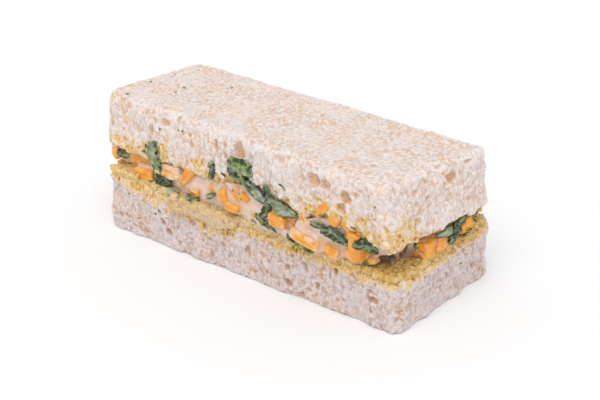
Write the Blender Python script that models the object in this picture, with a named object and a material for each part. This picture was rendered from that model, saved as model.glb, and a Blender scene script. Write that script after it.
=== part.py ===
"""Finger sandwich of grated cheese, leaves and pesto between two crustless slices of white bread.

The long side with the torn crumb faces -Y and the near end faces +X. Sizes here are in
millimetres and become metres when a mesh is finished. A slice is a four-sided loaf with a
corner height of its own at each corner, because hand-cut bread is never square.
"""

import math
import random
from dataclasses import dataclass

import bmesh
import bpy
from mathutils import Vector, noise
from mathutils.bvhtree import BVHTree

MM = 0.001
SEED = 26

# Every solid keeps this distance to the one it lies on.
GAP = 0.3

# Corner heights are given at these distances from the middle of the sandwich.
HALF_LENGTH = 48.0
HALF_WIDTH = 18.0

# Bread: each slice's rounded edges and the roughness of its torn sides.
CORNER_RADIUS = 2.8
EDGE_ROUND = 1.4
FLOOR_EDGE_ROUND = 0.8
LID_EDGE_ROUND = 1.0
ARC_MIDDLE = 0.3
WALL_LEVELS = (0.33, 0.67)
CRAG_DEPTH = 0.45
CRAG_SIZE = 7.0
SWELL_DEPTH = 0.35
SWELL_SIZE = 22.0
DEEP_INSET = 8.0
MID_INSET = 4.0

# Moves the pattern of roughness on the top slice, so that the slices differ.
TOP_CRAG_SHIFT = Vector((9.0, 40.0, 11.0))

# Steps round an outline: the long sides, the ends and each corner's arc.
LONG_STEPS = 20
END_STEPS = 8
ARC_STEPS = 3

# Pesto: its layers, and the tongue that has run over the front edge.
PESTO_DEPTH = 0.9
UPPER_PESTO_DEPTH = 0.5
PESTO_EDGE = -0.6
PESTO_LIP = 0.7
UPPER_PESTO_EDGE = -1.6
PESTO_WAVE = 0.5
TONGUE_DEPTH = 1.0
TONGUE_WAVE = 0.4
TONGUE_WAVES = 1.9
TONGUE_AIM = 2.2
TONGUE_TOP = 0.6
TONGUE_COLUMNS = 8
TONGUE_ROWS = 3

# A normal that points this far to -Y belongs to the front edge and not to a corner.
FACES_FRONT = -0.9

# Filling
FILLING_RADIUS = 5.0
LUMP_DEPTH = 0.7
LUMP_SIZE = 6.0
FILLING_BULGE = 0.6
FILLING_LEVELS = (0.3, 0.65)
SPREAD_TO_LID = 8.0
CORE_STEP = 1.0
NOTCH_ROOM = 0.6
SHRED_STEPS = 3
SHRED_BEND = 0.9
SHRED_TAPER = 0.78
SHRED_SQUASH = (0.3, 0.6)
AIM_MARGIN = 1.2

# Shreds on the sides that the front view doesn't show are drawn from these ranges.
SCATTER_SHIFT = 1.0
SCATTER_LEVEL = (0.35, 0.65)
SCATTER_LENGTH = (4.5, 8.0)
SCATTER_WIDTH = (2.2, 3.4)
SCATTER_TILT = 35.0
SCATTER_PROUD = (0.9, 1.6)

# The filling's skin is made even, then thinned to few faces.
FILLING_VOXEL = 0.4
FILLING_RATIO = 0.05

# Leaves
LEAF_THICKNESS = 0.45
LEAF_RIPPLE = 0.18
LEAF_WAVES = 2.0
LEAF_STALK = 0.08
LEAF_FULLNESS = 0.7
LEAF_STEPS = 5
LEAF_MARGIN = 0.7
LEAF_SAG = 1.6

# Rays that look for a surface start this far from the middle, outside every side.
RAY_START = 80.0


@dataclass(frozen=True)
class Cut:
    """One cut face of a slice: its corners in plan and the height at each.

    Corners go left front, right front, right back, left back.
    """

    corners: tuple
    heights: tuple

    def height(self, x, y):
        """Height above the floor at a place, straight between the corner heights."""
        u = 0.5 + x / (2.0 * HALF_LENGTH)
        v = 0.5 + y / (2.0 * HALF_WIDTH)
        front = self.heights[0] * (1.0 - u) + self.heights[1] * u
        back = self.heights[3] * (1.0 - u) + self.heights[2] * u
        return front * (1.0 - v) + back * v


FLOOR_CUT = Cut(
    ((-48.9, -18.6), (47.6, -17.2), (47.4, 20.4), (-48.0, 19.2)),
    (0.0, 0.0, 0.0, 0.0),
)
SPREAD_CUT = Cut(
    ((-49.4, -17.0), (47.8, -17.0), (47.9, 19.7), (-48.2, 19.2)),
    (15.2, 12.9, 13.9, 15.7),
)
LID_CUT = Cut(
    ((-51.5, -14.9), (47.6, -19.5), (51.2, 15.6), (-48.1, 19.9)),
    (22.4, 22.7, 21.4, 21.6),
)
CROWN_CUT = Cut(
    ((-50.7, -13.3), (46.0, -20.2), (50.3, 14.3), (-48.6, 18.9)),
    (37.1, 37.7, 35.8, 35.7),
)

# The filling has pushed the top slice up along its front edge: distance along, lift.
FRONT_NOTCHES = (
    (-46.0, 0.0), (-34.0, 0.3), (-26.0, 1.5), (-16.0, 0.7), (-10.0, 2.0), (-5.0, 3.6),
    (4.0, 4.4), (12.0, 4.2), (18.0, 1.0), (22.0, 0.8), (27.0, 4.0), (33.0, 2.6),
    (40.0, 1.2), (46.0, 0.0),
)

# How far the filling stays inside the bread: distance along that side, inset.
FRONT_INSETS = (
    (-47.0, 6.5), (-40.0, 4.4), (-34.0, 2.8), (-27.0, 1.8), (-15.0, 0.8), (-3.0, 1.2),
    (6.0, -0.4), (15.0, 0.2), (22.0, -0.4), (28.0, 0.0), (35.0, 1.2), (40.0, 3.2),
    (46.0, 7.0),
)
RIGHT_INSETS = ((-16.0, 7.0), (-10.0, 5.2), (-4.0, 3.4), (2.0, 2.0), (9.0, 2.8), (18.0, 3.6))
BACK_INSETS = ((-46.0, 4.0), (-28.0, 1.4), (-8.0, 0.8), (14.0, 2.0), (30.0, 1.0), (46.0, 4.5))
LEFT_INSETS = ((-15.0, 5.5), (-4.0, 2.8), (8.0, 1.4), (19.0, 3.0))

# Pesto that has run over the front edge of the bottom slice: distance along, lowest height.
TONGUE_REACH = ((-25.0, 14.4), (-20.0, 12.8), (-13.0, 12.0), (-6.0, 12.0), (-1.0, 14.2))


@dataclass(frozen=True)
class Side:
    """One side of the filling: the direction that places are counted in and the way out."""

    along: Vector
    outward: Vector


FRONT = Side(Vector((1.0, 0.0, 0.0)), Vector((0.0, -1.0, 0.0)))
RIGHT = Side(Vector((0.0, 1.0, 0.0)), Vector((1.0, 0.0, 0.0)))
BACK = Side(Vector((1.0, 0.0, 0.0)), Vector((0.0, 1.0, 0.0)))
LEFT = Side(Vector((0.0, 1.0, 0.0)), Vector((-1.0, 0.0, 0.0)))
UP = Vector((0.0, 0.0, 1.0))


@dataclass(frozen=True)
class Shred:
    """A shred of grated cheese on a side of the filling, seen square on.

    place and height say where its middle is, tilt is its rise along the side in degrees,
    depth is its size into the sandwich and proud is how far it stands out of the filling.
    """

    side: Side
    place: float
    height: float
    length: float
    width: float
    tilt: float
    proud: float = 0.7
    depth: float = 2.6


@dataclass(frozen=True)
class Leaf:
    """A piece of leaf that lies against a side, with its middle, size and rise."""

    side: Side
    place: float
    height: float
    length: float
    width: float
    tilt: float


SHREDS = (
    Shred(FRONT, -46.4, 19.4, 7.2, 3.5, -6, 3.0, 8.0),
    Shred(FRONT, -39.4, 20.3, 8.6, 4.0, 5, 1.4),
    Shred(FRONT, -42.4, 18.3, 3.2, 2.6, -56, 0.8),
    Shred(FRONT, -36.2, 17.6, 7.1, 3.1, 3, 2.0),
    Shred(FRONT, -26.2, 21.7, 7.7, 3.8, -6, 1.3),
    Shred(FRONT, -19.2, 22.0, 7.6, 2.9, 52, 1.4),
    Shred(FRONT, -16.3, 18.2, 4.0, 1.9, 6, 0.6),
    Shred(FRONT, -10.0, 21.1, 2.6, 1.7, 86, 0.8),
    Shred(FRONT, -2.9, 24.9, 5.6, 2.6, -3, 1.4),
    Shred(FRONT, -5.0, 20.4, 3.4, 2.8, -67, 1.4),
    Shred(FRONT, -1.9, 18.9, 4.4, 2.5, -12, 1.6),
    Shred(FRONT, -0.2, 22.2, 4.6, 1.9, -89, 1.0),
    Shred(FRONT, 2.9, 22.8, 3.0, 1.8, -8, 0.8),
    Shred(FRONT, 14.4, 20.4, 5.3, 3.6, 3, 1.8),
    Shred(FRONT, 22.5, 18.2, 8.6, 3.2, -15, 1.9),
    Shred(FRONT, 21.6, 22.5, 4.8, 2.2, -59, 1.5),
    Shred(FRONT, 28.0, 26.6, 4.6, 2.3, 52, 1.2),
    Shred(FRONT, 30.7, 25.0, 3.4, 2.6, -34, 1.3),
    Shred(FRONT, 34.4, 24.4, 4.4, 2.4, -24, 1.3),
    Shred(FRONT, 36.9, 19.5, 6.0, 3.4, -89, 1.9),
    Shred(FRONT, 36.2, 22.4, 4.2, 1.9, -8, 2.2),
    Shred(FRONT, 29.7, 16.9, 4.6, 2.8, -2, 1.5),
    Shred(FRONT, 35.0, 17.3, 4.2, 2.1, -20, 1.2),
    Shred(FRONT, 39.4, 16.6, 3.8, 1.9, 16, 1.6),
    Shred(FRONT, 43.2, 19.0, 2.8, 2.0, 0, 0.9),
    Shred(RIGHT, -11.0, 20.0, 4.0, 2.2, 10, 1.2),
    Shred(RIGHT, -4.6, 17.2, 4.8, 4.0, 3, 2.6, 4.4),
    Shred(RIGHT, -0.6, 17.4, 5.0, 4.7, -6, 2.8, 4.4),
    Shred(RIGHT, 7.9, 18.8, 4.8, 3.0, 20, 1.8),
    Shred(RIGHT, 6.4, 15.7, 2.8, 1.8, 0, 1.2),
)

# Rows of scattered shreds: the side, the first and last place, and the step.
SCATTER_RUNS = ((BACK, -40.0, 40.0, 6.6), (LEFT, -9.0, 15.0, 6.0))

LEAVES = (
    Leaf(FRONT, -45.6, 20.6, 3.8, 1.9, -20),
    Leaf(FRONT, -30.1, 24.1, 8.6, 4.4, -84),
    Leaf(FRONT, -29.0, 18.0, 6.2, 3.1, 2),
    Leaf(FRONT, -23.4, 16.6, 4.0, 1.8, 0),
    Leaf(FRONT, -16.9, 16.9, 3.9, 1.6, -4),
    Leaf(FRONT, -8.4, 26.8, 4.7, 2.0, 78),
    Leaf(FRONT, 1.8, 30.0, 8.4, 5.6, 4),
    Leaf(FRONT, 5.9, 26.1, 8.6, 3.6, -28),
    Leaf(FRONT, 11.0, 27.0, 3.7, 2.6, -88),
    Leaf(FRONT, 15.2, 24.1, 8.0, 3.0, -14),
    Leaf(FRONT, 9.3, 17.8, 6.6, 1.5, -22),
    Leaf(FRONT, 20.6, 16.2, 8.0, 2.0, -12),
    Leaf(FRONT, 26.0, 22.8, 3.7, 1.7, 2),
    Leaf(FRONT, 31.6, 21.6, 7.8, 3.1, -8),
    Leaf(FRONT, 40.2, 21.4, 5.2, 2.8, -12),
    Leaf(FRONT, 10.4, 21.8, 4.2, 2.4, 58),
    Leaf(FRONT, -10.2, 18.9, 3.3, 1.4, 25),
    Leaf(RIGHT, -0.9, 20.2, 5.0, 1.5, 2),
    Leaf(RIGHT, 3.2, 18.6, 5.6, 3.9, 58),
    Leaf(RIGHT, 5.2, 21.0, 3.2, 1.8, 9),
    Leaf(RIGHT, 8.6, 16.6, 3.7, 1.8, -24),
    Leaf(RIGHT, 11.2, 19.4, 4.2, 2.1, -20),
    Leaf(BACK, -38.0, 18.6, 6.0, 3.0, 12),
    Leaf(BACK, -19.0, 18.8, 7.0, 3.2, -20),
    Leaf(BACK, 1.0, 18.2, 5.2, 3.0, 35),
    Leaf(BACK, 20.0, 17.8, 7.0, 3.4, -10),
    Leaf(BACK, 36.0, 18.0, 5.2, 2.8, 15),
    Leaf(LEFT, -2.0, 19.0, 5.2, 2.8, 20),
    Leaf(LEFT, 10.0, 18.6, 6.0, 3.0, -15),
)


def between(stations, place):
    """Value at a place, straight between the stations on each side of it."""
    if place <= stations[0][0]:
        return stations[0][1]
    for (start, low), (end, high) in zip(stations, stations[1:]):
        if place <= end:
            return low + (high - low) * (place - start) / (end - start)
    return stations[-1][1]


def clear_scene():
    """Remove what the scene holds."""
    for item in list(bpy.data.objects):
        bpy.data.objects.remove(item, do_unlink=True)


def material(name, colour, roughness):
    """A plain Principled material."""
    made = bpy.data.materials.new(name)
    made.use_nodes = True
    shader = made.node_tree.nodes["Principled BSDF"]
    shader.inputs["Base Color"].default_value = (*colour, 1.0)
    shader.inputs["Roughness"].default_value = roughness
    shader.inputs["Metallic"].default_value = 0.0
    return made


def add_object(name, bm, finish):
    """Close a mesh off as a named object in metres."""
    bmesh.ops.recalc_face_normals(bm, faces=bm.faces)
    bmesh.ops.triangulate(bm, faces=bm.faces)
    bmesh.ops.scale(bm, vec=(MM, MM, MM), verts=bm.verts)
    mesh = bpy.data.meshes.new(name)
    bm.to_mesh(mesh)
    bm.free()
    mesh.materials.append(finish)
    item = bpy.data.objects.new(name, mesh)
    bpy.context.scene.collection.objects.link(item)
    return item


def outline(corners, inset, radius):
    """Walk round a four-sided outline with rounded corners, giving points and outward normals."""
    arcs = []
    for index in range(4):
        before = Vector(corners[index - 1])
        here = Vector(corners[index])
        after = Vector(corners[(index + 1) % 4])
        edge_in = (here - before).normalized()
        edge_out = (after - here).normalized()
        normal_in = Vector((edge_in.y, -edge_in.x))
        normal_out = Vector((edge_out.y, -edge_out.x))
        inward = -(normal_in + normal_out) / (1.0 + normal_in.dot(normal_out))
        bend = max(radius - inset, GAP)
        centre = here + inward * (inset + bend)
        arc = []
        for step in range(ARC_STEPS + 1):
            share = step / ARC_STEPS
            normal = (normal_in * (1.0 - share) + normal_out * share).normalized()
            arc.append((centre + normal * bend, normal))
        arcs.append(arc)
    points = []
    for index, arc in enumerate(arcs):
        points.extend(arc)
        start, normal = arc[-1]
        end = arcs[(index + 1) % 4][0][0]
        steps = LONG_STEPS if index % 2 == 0 else END_STEPS
        for step in range(1, steps):
            points.append((start.lerp(end, step / steps), normal))
    return points


def stack_rings(rings):
    """Join rings of points into a closed body, from the lowest ring to the highest."""
    bm = bmesh.new()
    ring = bmesh.ops.create_circle(bm, segments=len(rings[0]), radius=1.0)["verts"]
    for vert, point in zip(ring, rings[0]):
        vert.co = point
    for points in rings[1:]:
        edges = [bm.edges.get((ring[i - 1], ring[i])) for i in range(len(ring))]
        made = bmesh.ops.extrude_edge_only(bm, edges=edges)["geom"]
        fresh = {item for item in made if isinstance(item, bmesh.types.BMVert)}
        ring = [
            next(e.other_vert(v) for e in v.link_edges if e.other_vert(v) in fresh)
            for v in ring
        ]
        for vert, point in zip(ring, points):
            vert.co = point
    open_edges = [edge for edge in bm.edges if edge.is_boundary]
    bmesh.ops.holes_fill(bm, edges=open_edges, sides=0)
    return bm


def blend_corners(low, high, share):
    """Plan corners part of the way from one cut to another."""
    return [Vector(a).lerp(Vector(b), share) for a, b in zip(low.corners, high.corners)]


def front_lift(x, y):
    """How far the filling has pushed the top slice up, fading towards the middle."""
    front_left, front_right = (Vector(corner) for corner in LID_CUT.corners[:2])
    share = (x - front_left.x) / (front_right.x - front_left.x)
    depth = y - (front_left.y + (front_right.y - front_left.y) * share)
    fade = min(1.0, max(0.0, 1.0 - depth / DEEP_INSET))
    return between(FRONT_NOTCHES, x) * fade


def lid_height(x, y):
    """Height of the top slice's underside."""
    return LID_CUT.height(x, y) + front_lift(x, y)


def crag(point, normal):
    """Move a point of a torn side in or out of the plain cut."""
    fine = CRAG_DEPTH * noise.noise(point / CRAG_SIZE)
    broad = SWELL_DEPTH * noise.noise(point / SWELL_SIZE)
    return point + normal.to_3d() * (fine + broad)


def slice_rings(low, high, low_height, high_height, low_round, shift):
    """Rings of a slice, up its sides from the middle of one cut to the middle of the other."""
    profile = (
        (DEEP_INSET, 0.0, 0.0),
        (MID_INSET, 0.0, 0.0),
        (low_round, 0.0, 0.0),
        (0.0, 0.0, low_round),
        *((0.0, level, 0.0) for level in WALL_LEVELS),
        (0.0, 1.0, -EDGE_ROUND),
        (ARC_MIDDLE * EDGE_ROUND, 1.0, -ARC_MIDDLE * EDGE_ROUND),
        (EDGE_ROUND, 1.0, 0.0),
        (DEEP_INSET, 1.0, 0.0),
    )
    rings = []
    for inset, share, rise in profile:
        ring = []
        for place, normal in outline(blend_corners(low, high, share), inset, CORNER_RADIUS):
            bottom = low_height(place.x, place.y)
            top = high_height(place.x, place.y)
            point = Vector((place.x, place.y, bottom + (top - bottom) * share + rise))
            if inset <= EDGE_ROUND:
                point = crag(point + shift, normal) - shift
            ring.append(point)
        rings.append(ring)
    return rings


def build_bottom_slice(finish):
    """The slice that lies on its flat underside."""
    rings = slice_rings(
        FLOOR_CUT, SPREAD_CUT, FLOOR_CUT.height, SPREAD_CUT.height, FLOOR_EDGE_ROUND, Vector()
    )
    return add_object("bread_bottom", stack_rings(rings), finish)


def build_top_slice(finish):
    """The slice on top, lifted along its front by what is under it."""
    rings = slice_rings(
        LID_CUT, CROWN_CUT, lid_height, CROWN_CUT.height, LID_EDGE_ROUND, TOP_CRAG_SHIFT
    )
    return add_object("bread_top", stack_rings(rings), finish)


def side_inset(place, normal):
    """Inset of the filling at a place, shared between the two sides that meet at a corner."""
    long_side = FRONT_INSETS if normal.y < 0.0 else BACK_INSETS
    end = RIGHT_INSETS if normal.x > 0.0 else LEFT_INSETS
    weight = normal.x * normal.x
    return between(end, place.y) * weight + between(long_side, place.x) * (1.0 - weight)


def filling_floor(x, y):
    """Height where the filling starts, on the lower pesto."""
    return SPREAD_CUT.height(x, y) + PESTO_DEPTH + 2.0 * GAP


def filling_roof(x, y):
    """Height where the filling ends, under the upper pesto."""
    room = UPPER_PESTO_DEPTH + 2.0 * GAP + NOTCH_ROOM * min(1.0, front_lift(x, y))
    return lid_height(x, y) - room


def upper_pesto_height(x, y):
    """Height that the upper pesto hangs from, with some room where the bread is pushed up."""
    return lid_height(x, y) - 0.5 * NOTCH_ROOM * min(1.0, front_lift(x, y))


def core_spot(place, normal, deep, cap, share):
    """Where a ring of the filling meets the plan: on its lumpy side, or further in."""
    inset = side_inset(place, normal)
    if cap > inset and cap > 0.0:
        return deep
    if cap > 0.0:
        return place - normal * (inset + CORE_STEP)
    bulge = FILLING_BULGE * math.sin(math.pi * share)
    level = share * SPREAD_TO_LID
    lump = LUMP_DEPTH * noise.noise(Vector((place.x, place.y, level)) / LUMP_SIZE)
    return place - normal * (inset - bulge - lump)


def build_core():
    """The bare filling: a body with lumpy sides that runs through the sandwich."""
    rings = []
    levels = (
        (0.0, DEEP_INSET),
        (0.0, MID_INSET),
        (0.0, 0.0),
        *((level, 0.0) for level in FILLING_LEVELS),
        (1.0, 0.0),
        (1.0, MID_INSET),
        (1.0, DEEP_INSET),
    )
    for share, cap in levels:
        ring = []
        corners = blend_corners(SPREAD_CUT, LID_CUT, share)
        edge = outline(corners, 0.0, FILLING_RADIUS)
        inner = outline(corners, cap, FILLING_RADIUS)
        for (place, normal), (deep, _) in zip(edge, inner):
            spot = core_spot(place, normal, deep, cap, share)
            bottom = filling_floor(spot.x, spot.y)
            top = filling_roof(spot.x, spot.y)
            ring.append(Vector((spot.x, spot.y, bottom + (top - bottom) * share)))
        rings.append(ring)
    return stack_rings(rings)


def surface_tree(items):
    """Search trees over finished objects, in metres."""
    graph = bpy.context.evaluated_depsgraph_get()
    return [BVHTree.FromObject(item, graph) for item in items]


def on_side(side, place, height, out):
    """The point at a place and a height on a side, so far out from the middle."""
    return side.along * place + UP * height + side.outward * out


def reach(trees, side, place, height):
    """How far out the nearest surface lies at a place on a side, or None past its edge."""
    start = on_side(side, place, height, RAY_START) * MM
    found = []
    for tree in trees:
        hit = tree.ray_cast(start, -side.outward)[0]
        if hit is not None:
            found.append(hit.dot(side.outward) / MM)
    return max(found) if found else None


def aim_height(side, place, height):
    """A height on a side that is sure to meet the bare filling behind it."""
    spot = on_side(side, place, height, HALF_WIDTH)
    low, high = filling_floor(spot.x, spot.y), filling_roof(spot.x, spot.y)
    return min(max(height, low + AIM_MARGIN), high - AIM_MARGIN)


def build_shred(shred, trees, draw):
    """A strip of cheese with a slight bend and narrower ends, sunk into the filling."""
    bm = bmesh.new()
    bmesh.ops.create_cube(bm, size=1.0)
    lengthwise = [e for e in bm.edges if abs(e.verts[0].co.x - e.verts[1].co.x) > 0.5]
    bmesh.ops.subdivide_edges(bm, edges=lengthwise, cuts=SHRED_STEPS, use_grid_fill=True)
    bend = SHRED_BEND * draw.uniform(-1.0, 1.0)
    squash = draw.uniform(*SHRED_SQUASH)
    turn = math.radians(shred.tilt)
    aim = aim_height(shred.side, shred.place, shred.height)
    surface = reach(trees, shred.side, shred.place, aim)
    middle = surface + shred.proud - shred.depth / 2.0
    for vert in bm.verts:
        share = 2.0 * vert.co.x
        width = shred.width * (1.0 - (1.0 - SHRED_TAPER) * share * share)
        run = vert.co.x * shred.length
        rise = vert.co.y * width + bend * (1.0 - share * share)
        out = vert.co.z * shred.depth * (1.0 - (1.0 - SHRED_TAPER) * share * share)
        along = run * math.cos(turn) - rise * math.sin(turn)
        lift = run * math.sin(turn) + rise * math.cos(turn)
        spot = on_side(shred.side, shred.place + along, shred.height + lift, middle + out)
        floor = filling_floor(spot.x, spot.y) + squash
        roof = filling_roof(spot.x, spot.y) - squash
        spot.z = min(max(spot.z, floor), roof)
        vert.co = spot
    return bm


def scattered_shreds(draw):
    """Shreds for the back and the left end, which are finished like the sides that show."""
    found = []
    for side, first, last, step in SCATTER_RUNS:
        place = first
        while place <= last:
            x, y = (place, HALF_WIDTH) if side is BACK else (-HALF_LENGTH, place)
            low, high = filling_floor(x, y), filling_roof(x, y)
            found.append(
                Shred(
                    side,
                    place + draw.uniform(-SCATTER_SHIFT, SCATTER_SHIFT),
                    low + (high - low) * draw.uniform(*SCATTER_LEVEL),
                    draw.uniform(*SCATTER_LENGTH),
                    draw.uniform(*SCATTER_WIDTH),
                    draw.uniform(-SCATTER_TILT, SCATTER_TILT),
                    draw.uniform(*SCATTER_PROUD),
                )
            )
            place += step
    return found


def keep_outer_shell(bm):
    """Drop the sealed hollows and loose scraps that a union leaves beside the body."""
    waiting = set(bm.verts)
    shells = []
    while waiting:
        shell = set()
        edge_of_search = [waiting.pop()]
        while edge_of_search:
            vert = edge_of_search.pop()
            shell.add(vert)
            fresh = {e.other_vert(vert) for e in vert.link_edges} & waiting
            waiting -= fresh
            edge_of_search.extend(fresh)
        shells.append(shell)
    shells.sort(key=len)
    scraps = [vert for shell in shells[:-1] for vert in shell]
    bmesh.ops.delete(bm, geom=scraps, context="VERTS")


def fuse(base, parts):
    """One solid of a body and the pieces on it."""
    group = bpy.data.collections.new("fused_pieces")
    bpy.context.scene.collection.children.link(group)
    for item in parts:
        group.objects.link(item)
    union = base.modifiers.new("union", "BOOLEAN")
    union.operation = "UNION"
    union.operand_type = "COLLECTION"
    union.collection = group
    union.solver = "MANIFOLD"
    bpy.context.view_layer.objects.active = base
    bpy.ops.object.modifier_apply(modifier=union.name)
    for item in parts:
        bpy.data.objects.remove(item, do_unlink=True)
    bpy.data.collections.remove(group)
    bm = bmesh.new()
    bm.from_mesh(base.data)
    keep_outer_shell(bm)
    bmesh.ops.triangulate(bm, faces=bm.faces)
    bm.to_mesh(base.data)
    bm.free()


def build_filling(core_finish, shred_finish):
    """The filling with the shreds that show at its sides fused on."""
    filling = add_object("filling", build_core(), core_finish)
    trees = surface_tree([filling])
    draw = random.Random(SEED)
    shreds = [*SHREDS, *scattered_shreds(draw)]
    pieces = []
    for index, shred in enumerate(shreds):
        pieces.append(add_object(f"shred_{index}", build_shred(shred, trees, draw), shred_finish))
    fuse(filling, pieces)
    even = filling.modifiers.new("even_skin", "REMESH")
    even.mode = "VOXEL"
    even.voxel_size = FILLING_VOXEL * MM
    thin = filling.modifiers.new("few_faces", "DECIMATE")
    thin.ratio = FILLING_RATIO
    return filling


def build_pesto_sheet(name, cut_height, corners, lip, depth, finish):
    """A thin layer of pesto with a wavy edge, GAP from its cut: over it, or under if depth < 0."""
    rings = []
    for level, cap in ((0, DEEP_INSET), (0, 0.0), (1, 0.0), (1, DEEP_INSET)):
        ring = []
        edge = outline(corners, 0.0, CORNER_RADIUS)
        inner = outline(corners, cap, CORNER_RADIUS)
        for (place, normal), (deep, _) in zip(edge, inner):
            wave = PESTO_WAVE * noise.noise(Vector((place.x, place.y, 0.0)) / LUMP_SIZE)
            spot = deep if cap > 0.0 else place + normal * (lip(place, normal) + wave)
            rise = math.copysign(GAP, depth) + level * depth
            ring.append(Vector((spot.x, spot.y, cut_height(spot.x, spot.y) + rise)))
        rings.append(ring)
    return add_object(name, stack_rings(rings), finish)


def lower_lip(place, normal):
    """Reach of the lower pesto past the edge of its slice, long where it has run over."""
    start, end = TONGUE_REACH[0][0], TONGUE_REACH[-1][0]
    runs_over = start < place.x < end and normal.y < FACES_FRONT
    return PESTO_LIP if runs_over else PESTO_EDGE


def build_tongue(finish, bread):
    """The pesto that hangs down the front of the bottom slice."""
    trees = surface_tree([bread])
    start, end = TONGUE_REACH[0][0] + 1.0, TONGUE_REACH[-1][0] - 1.0
    bm = bmesh.new()
    bmesh.ops.create_grid(bm, x_segments=TONGUE_COLUMNS, y_segments=TONGUE_ROWS, size=0.5)
    for vert in bm.verts:
        along = start + (end - start) * (vert.co.x + 0.5)
        top = SPREAD_CUT.height(along, -HALF_WIDTH) + GAP + TONGUE_TOP * PESTO_DEPTH
        low = between(TONGUE_REACH, along) + TONGUE_WAVE * math.sin(along * TONGUE_WAVES)
        height = low + (top - low) * (vert.co.y + 0.5)
        under = reach(trees, FRONT, along, min(height, top - TONGUE_AIM))
        vert.co = on_side(FRONT, along, height, under + GAP)
    bmesh.ops.triangulate(bm, faces=bm.faces)
    thicken(bm, FRONT.outward * TONGUE_DEPTH)
    return add_object("tongue", bm, finish)


def thicken(bm, step):
    """Give an open sheet its thickness in one direction, both faces split alike."""
    made = bmesh.ops.extrude_face_region(bm, geom=bm.faces[:], use_keep_orig=True)["geom"]
    moved = [item for item in made if isinstance(item, bmesh.types.BMVert)]
    bmesh.ops.translate(bm, verts=moved, vec=step)


def build_pesto(finish, bread):
    """Both layers of pesto, the lower one with the tongue that hangs over the edge."""
    lower = build_pesto_sheet(
        "pesto_bottom", SPREAD_CUT.height, SPREAD_CUT.corners, lower_lip, PESTO_DEPTH, finish
    )
    fuse(lower, [build_tongue(finish, bread)])
    upper = build_pesto_sheet(
        "pesto_top", upper_pesto_height, LID_CUT.corners,
        lambda *_: UPPER_PESTO_EDGE, -UPPER_PESTO_DEPTH, finish,
    )
    return lower, upper


def leaf_width(share):
    """Width of a leaf from its stalk at 0 to its tip at 1, as a share of the widest."""
    around = math.pi * (LEAF_STALK + (1.0 - 2.0 * LEAF_STALK) * share)
    return math.sin(around) ** LEAF_FULLNESS


def cover(trees, side, place, height):
    """How far out a leaf has to lie to clear everything close behind one of its points."""
    found = []
    for sideways in (-LEAF_MARGIN, 0.0, LEAF_MARGIN):
        for upward in (-LEAF_MARGIN, 0.0, LEAF_MARGIN):
            surface = reach(trees, side, place + sideways, height + upward)
            if surface is not None:
                found.append(surface)
    return max(found)


def build_leaf(name, leaf, trees, finish):
    """A thin wavy leaf that drapes over whatever the side holds behind it."""
    bm = bmesh.new()
    bmesh.ops.create_grid(bm, x_segments=LEAF_STEPS, y_segments=2, size=0.5)
    turn = math.radians(leaf.tilt)
    spots = []
    for vert in bm.verts:
        run = vert.co.x * leaf.length
        rise = vert.co.y * leaf.width * leaf_width(vert.co.x + 0.5)
        place = leaf.place + run * math.cos(turn) - rise * math.sin(turn)
        height = leaf.height + run * math.sin(turn) + rise * math.cos(turn)
        spots.append((place, height, cover(trees, leaf.side, place, height)))
    furthest = max(out for _, _, out in spots)
    for vert, (place, height, out) in zip(bm.verts, spots):
        ripple = LEAF_RIPPLE * (1.0 + math.sin(LEAF_WAVES * (place + height)))
        out = max(out, furthest - LEAF_SAG) + GAP + ripple
        vert.co = on_side(leaf.side, place, height, out)
    bmesh.ops.triangulate(bm, faces=bm.faces)
    thicken(bm, leaf.side.outward * LEAF_THICKNESS)
    return add_object(name, bm, finish)


def main():
    """Build the sandwich from the bottom slice up, then lay the leaves on its sides."""
    clear_scene()
    crumb = material("white_bread_crumb", (0.78, 0.67, 0.58), 0.9)
    mayonnaise = material("mayonnaise", (0.74, 0.62, 0.47), 0.35)
    cheese = material("red_leicester_shreds", (0.82, 0.36, 0.07), 0.45)
    pesto = material("pesto", (0.56, 0.39, 0.12), 0.5)
    leaf_green = material("leaf", (0.09, 0.15, 0.05), 0.45)
    bottom = build_bottom_slice(crumb)
    top = build_top_slice(crumb)
    lower, upper = build_pesto(pesto, bottom)
    filling = build_filling(mayonnaise, cheese)
    trees = surface_tree([bottom, top, lower, upper, filling])
    for number, leaf in enumerate(LEAVES, 1):
        made = build_leaf(f"leaf_{number:02d}", leaf, trees, leaf_green)
        trees += surface_tree([made])


main()
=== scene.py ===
"""Looks of a finger sandwich of grated cheese, leaves and pesto in crustless white bread.

Lengths are in millimetres until a mesh is written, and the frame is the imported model's: +X
runs along the long side to the near end, -Y out of the front side, and +Z up.
"""

import logging
import math
import random
from collections.abc import Sequence
from dataclasses import dataclass
from enum import Enum

import bmesh
import bpy
import numpy as np
from mathutils import Matrix, Vector, noise
from mathutils.bvhtree import BVHTree
from mathutils.kdtree import KDTree


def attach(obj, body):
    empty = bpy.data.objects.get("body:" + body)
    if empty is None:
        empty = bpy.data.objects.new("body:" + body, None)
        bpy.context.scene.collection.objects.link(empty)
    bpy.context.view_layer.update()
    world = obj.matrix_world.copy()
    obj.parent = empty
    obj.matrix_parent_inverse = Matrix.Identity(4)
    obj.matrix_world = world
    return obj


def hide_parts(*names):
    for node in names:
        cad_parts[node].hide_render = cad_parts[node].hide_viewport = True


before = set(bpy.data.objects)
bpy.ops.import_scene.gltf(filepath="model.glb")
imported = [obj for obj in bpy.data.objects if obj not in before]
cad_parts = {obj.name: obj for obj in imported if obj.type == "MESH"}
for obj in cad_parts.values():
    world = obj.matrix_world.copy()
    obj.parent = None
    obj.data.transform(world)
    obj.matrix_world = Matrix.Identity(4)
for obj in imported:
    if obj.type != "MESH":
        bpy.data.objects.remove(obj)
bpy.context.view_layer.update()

MM = 0.001
ROOT = "root"
UP = Vector((0.0, 0.0, 1.0))

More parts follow.
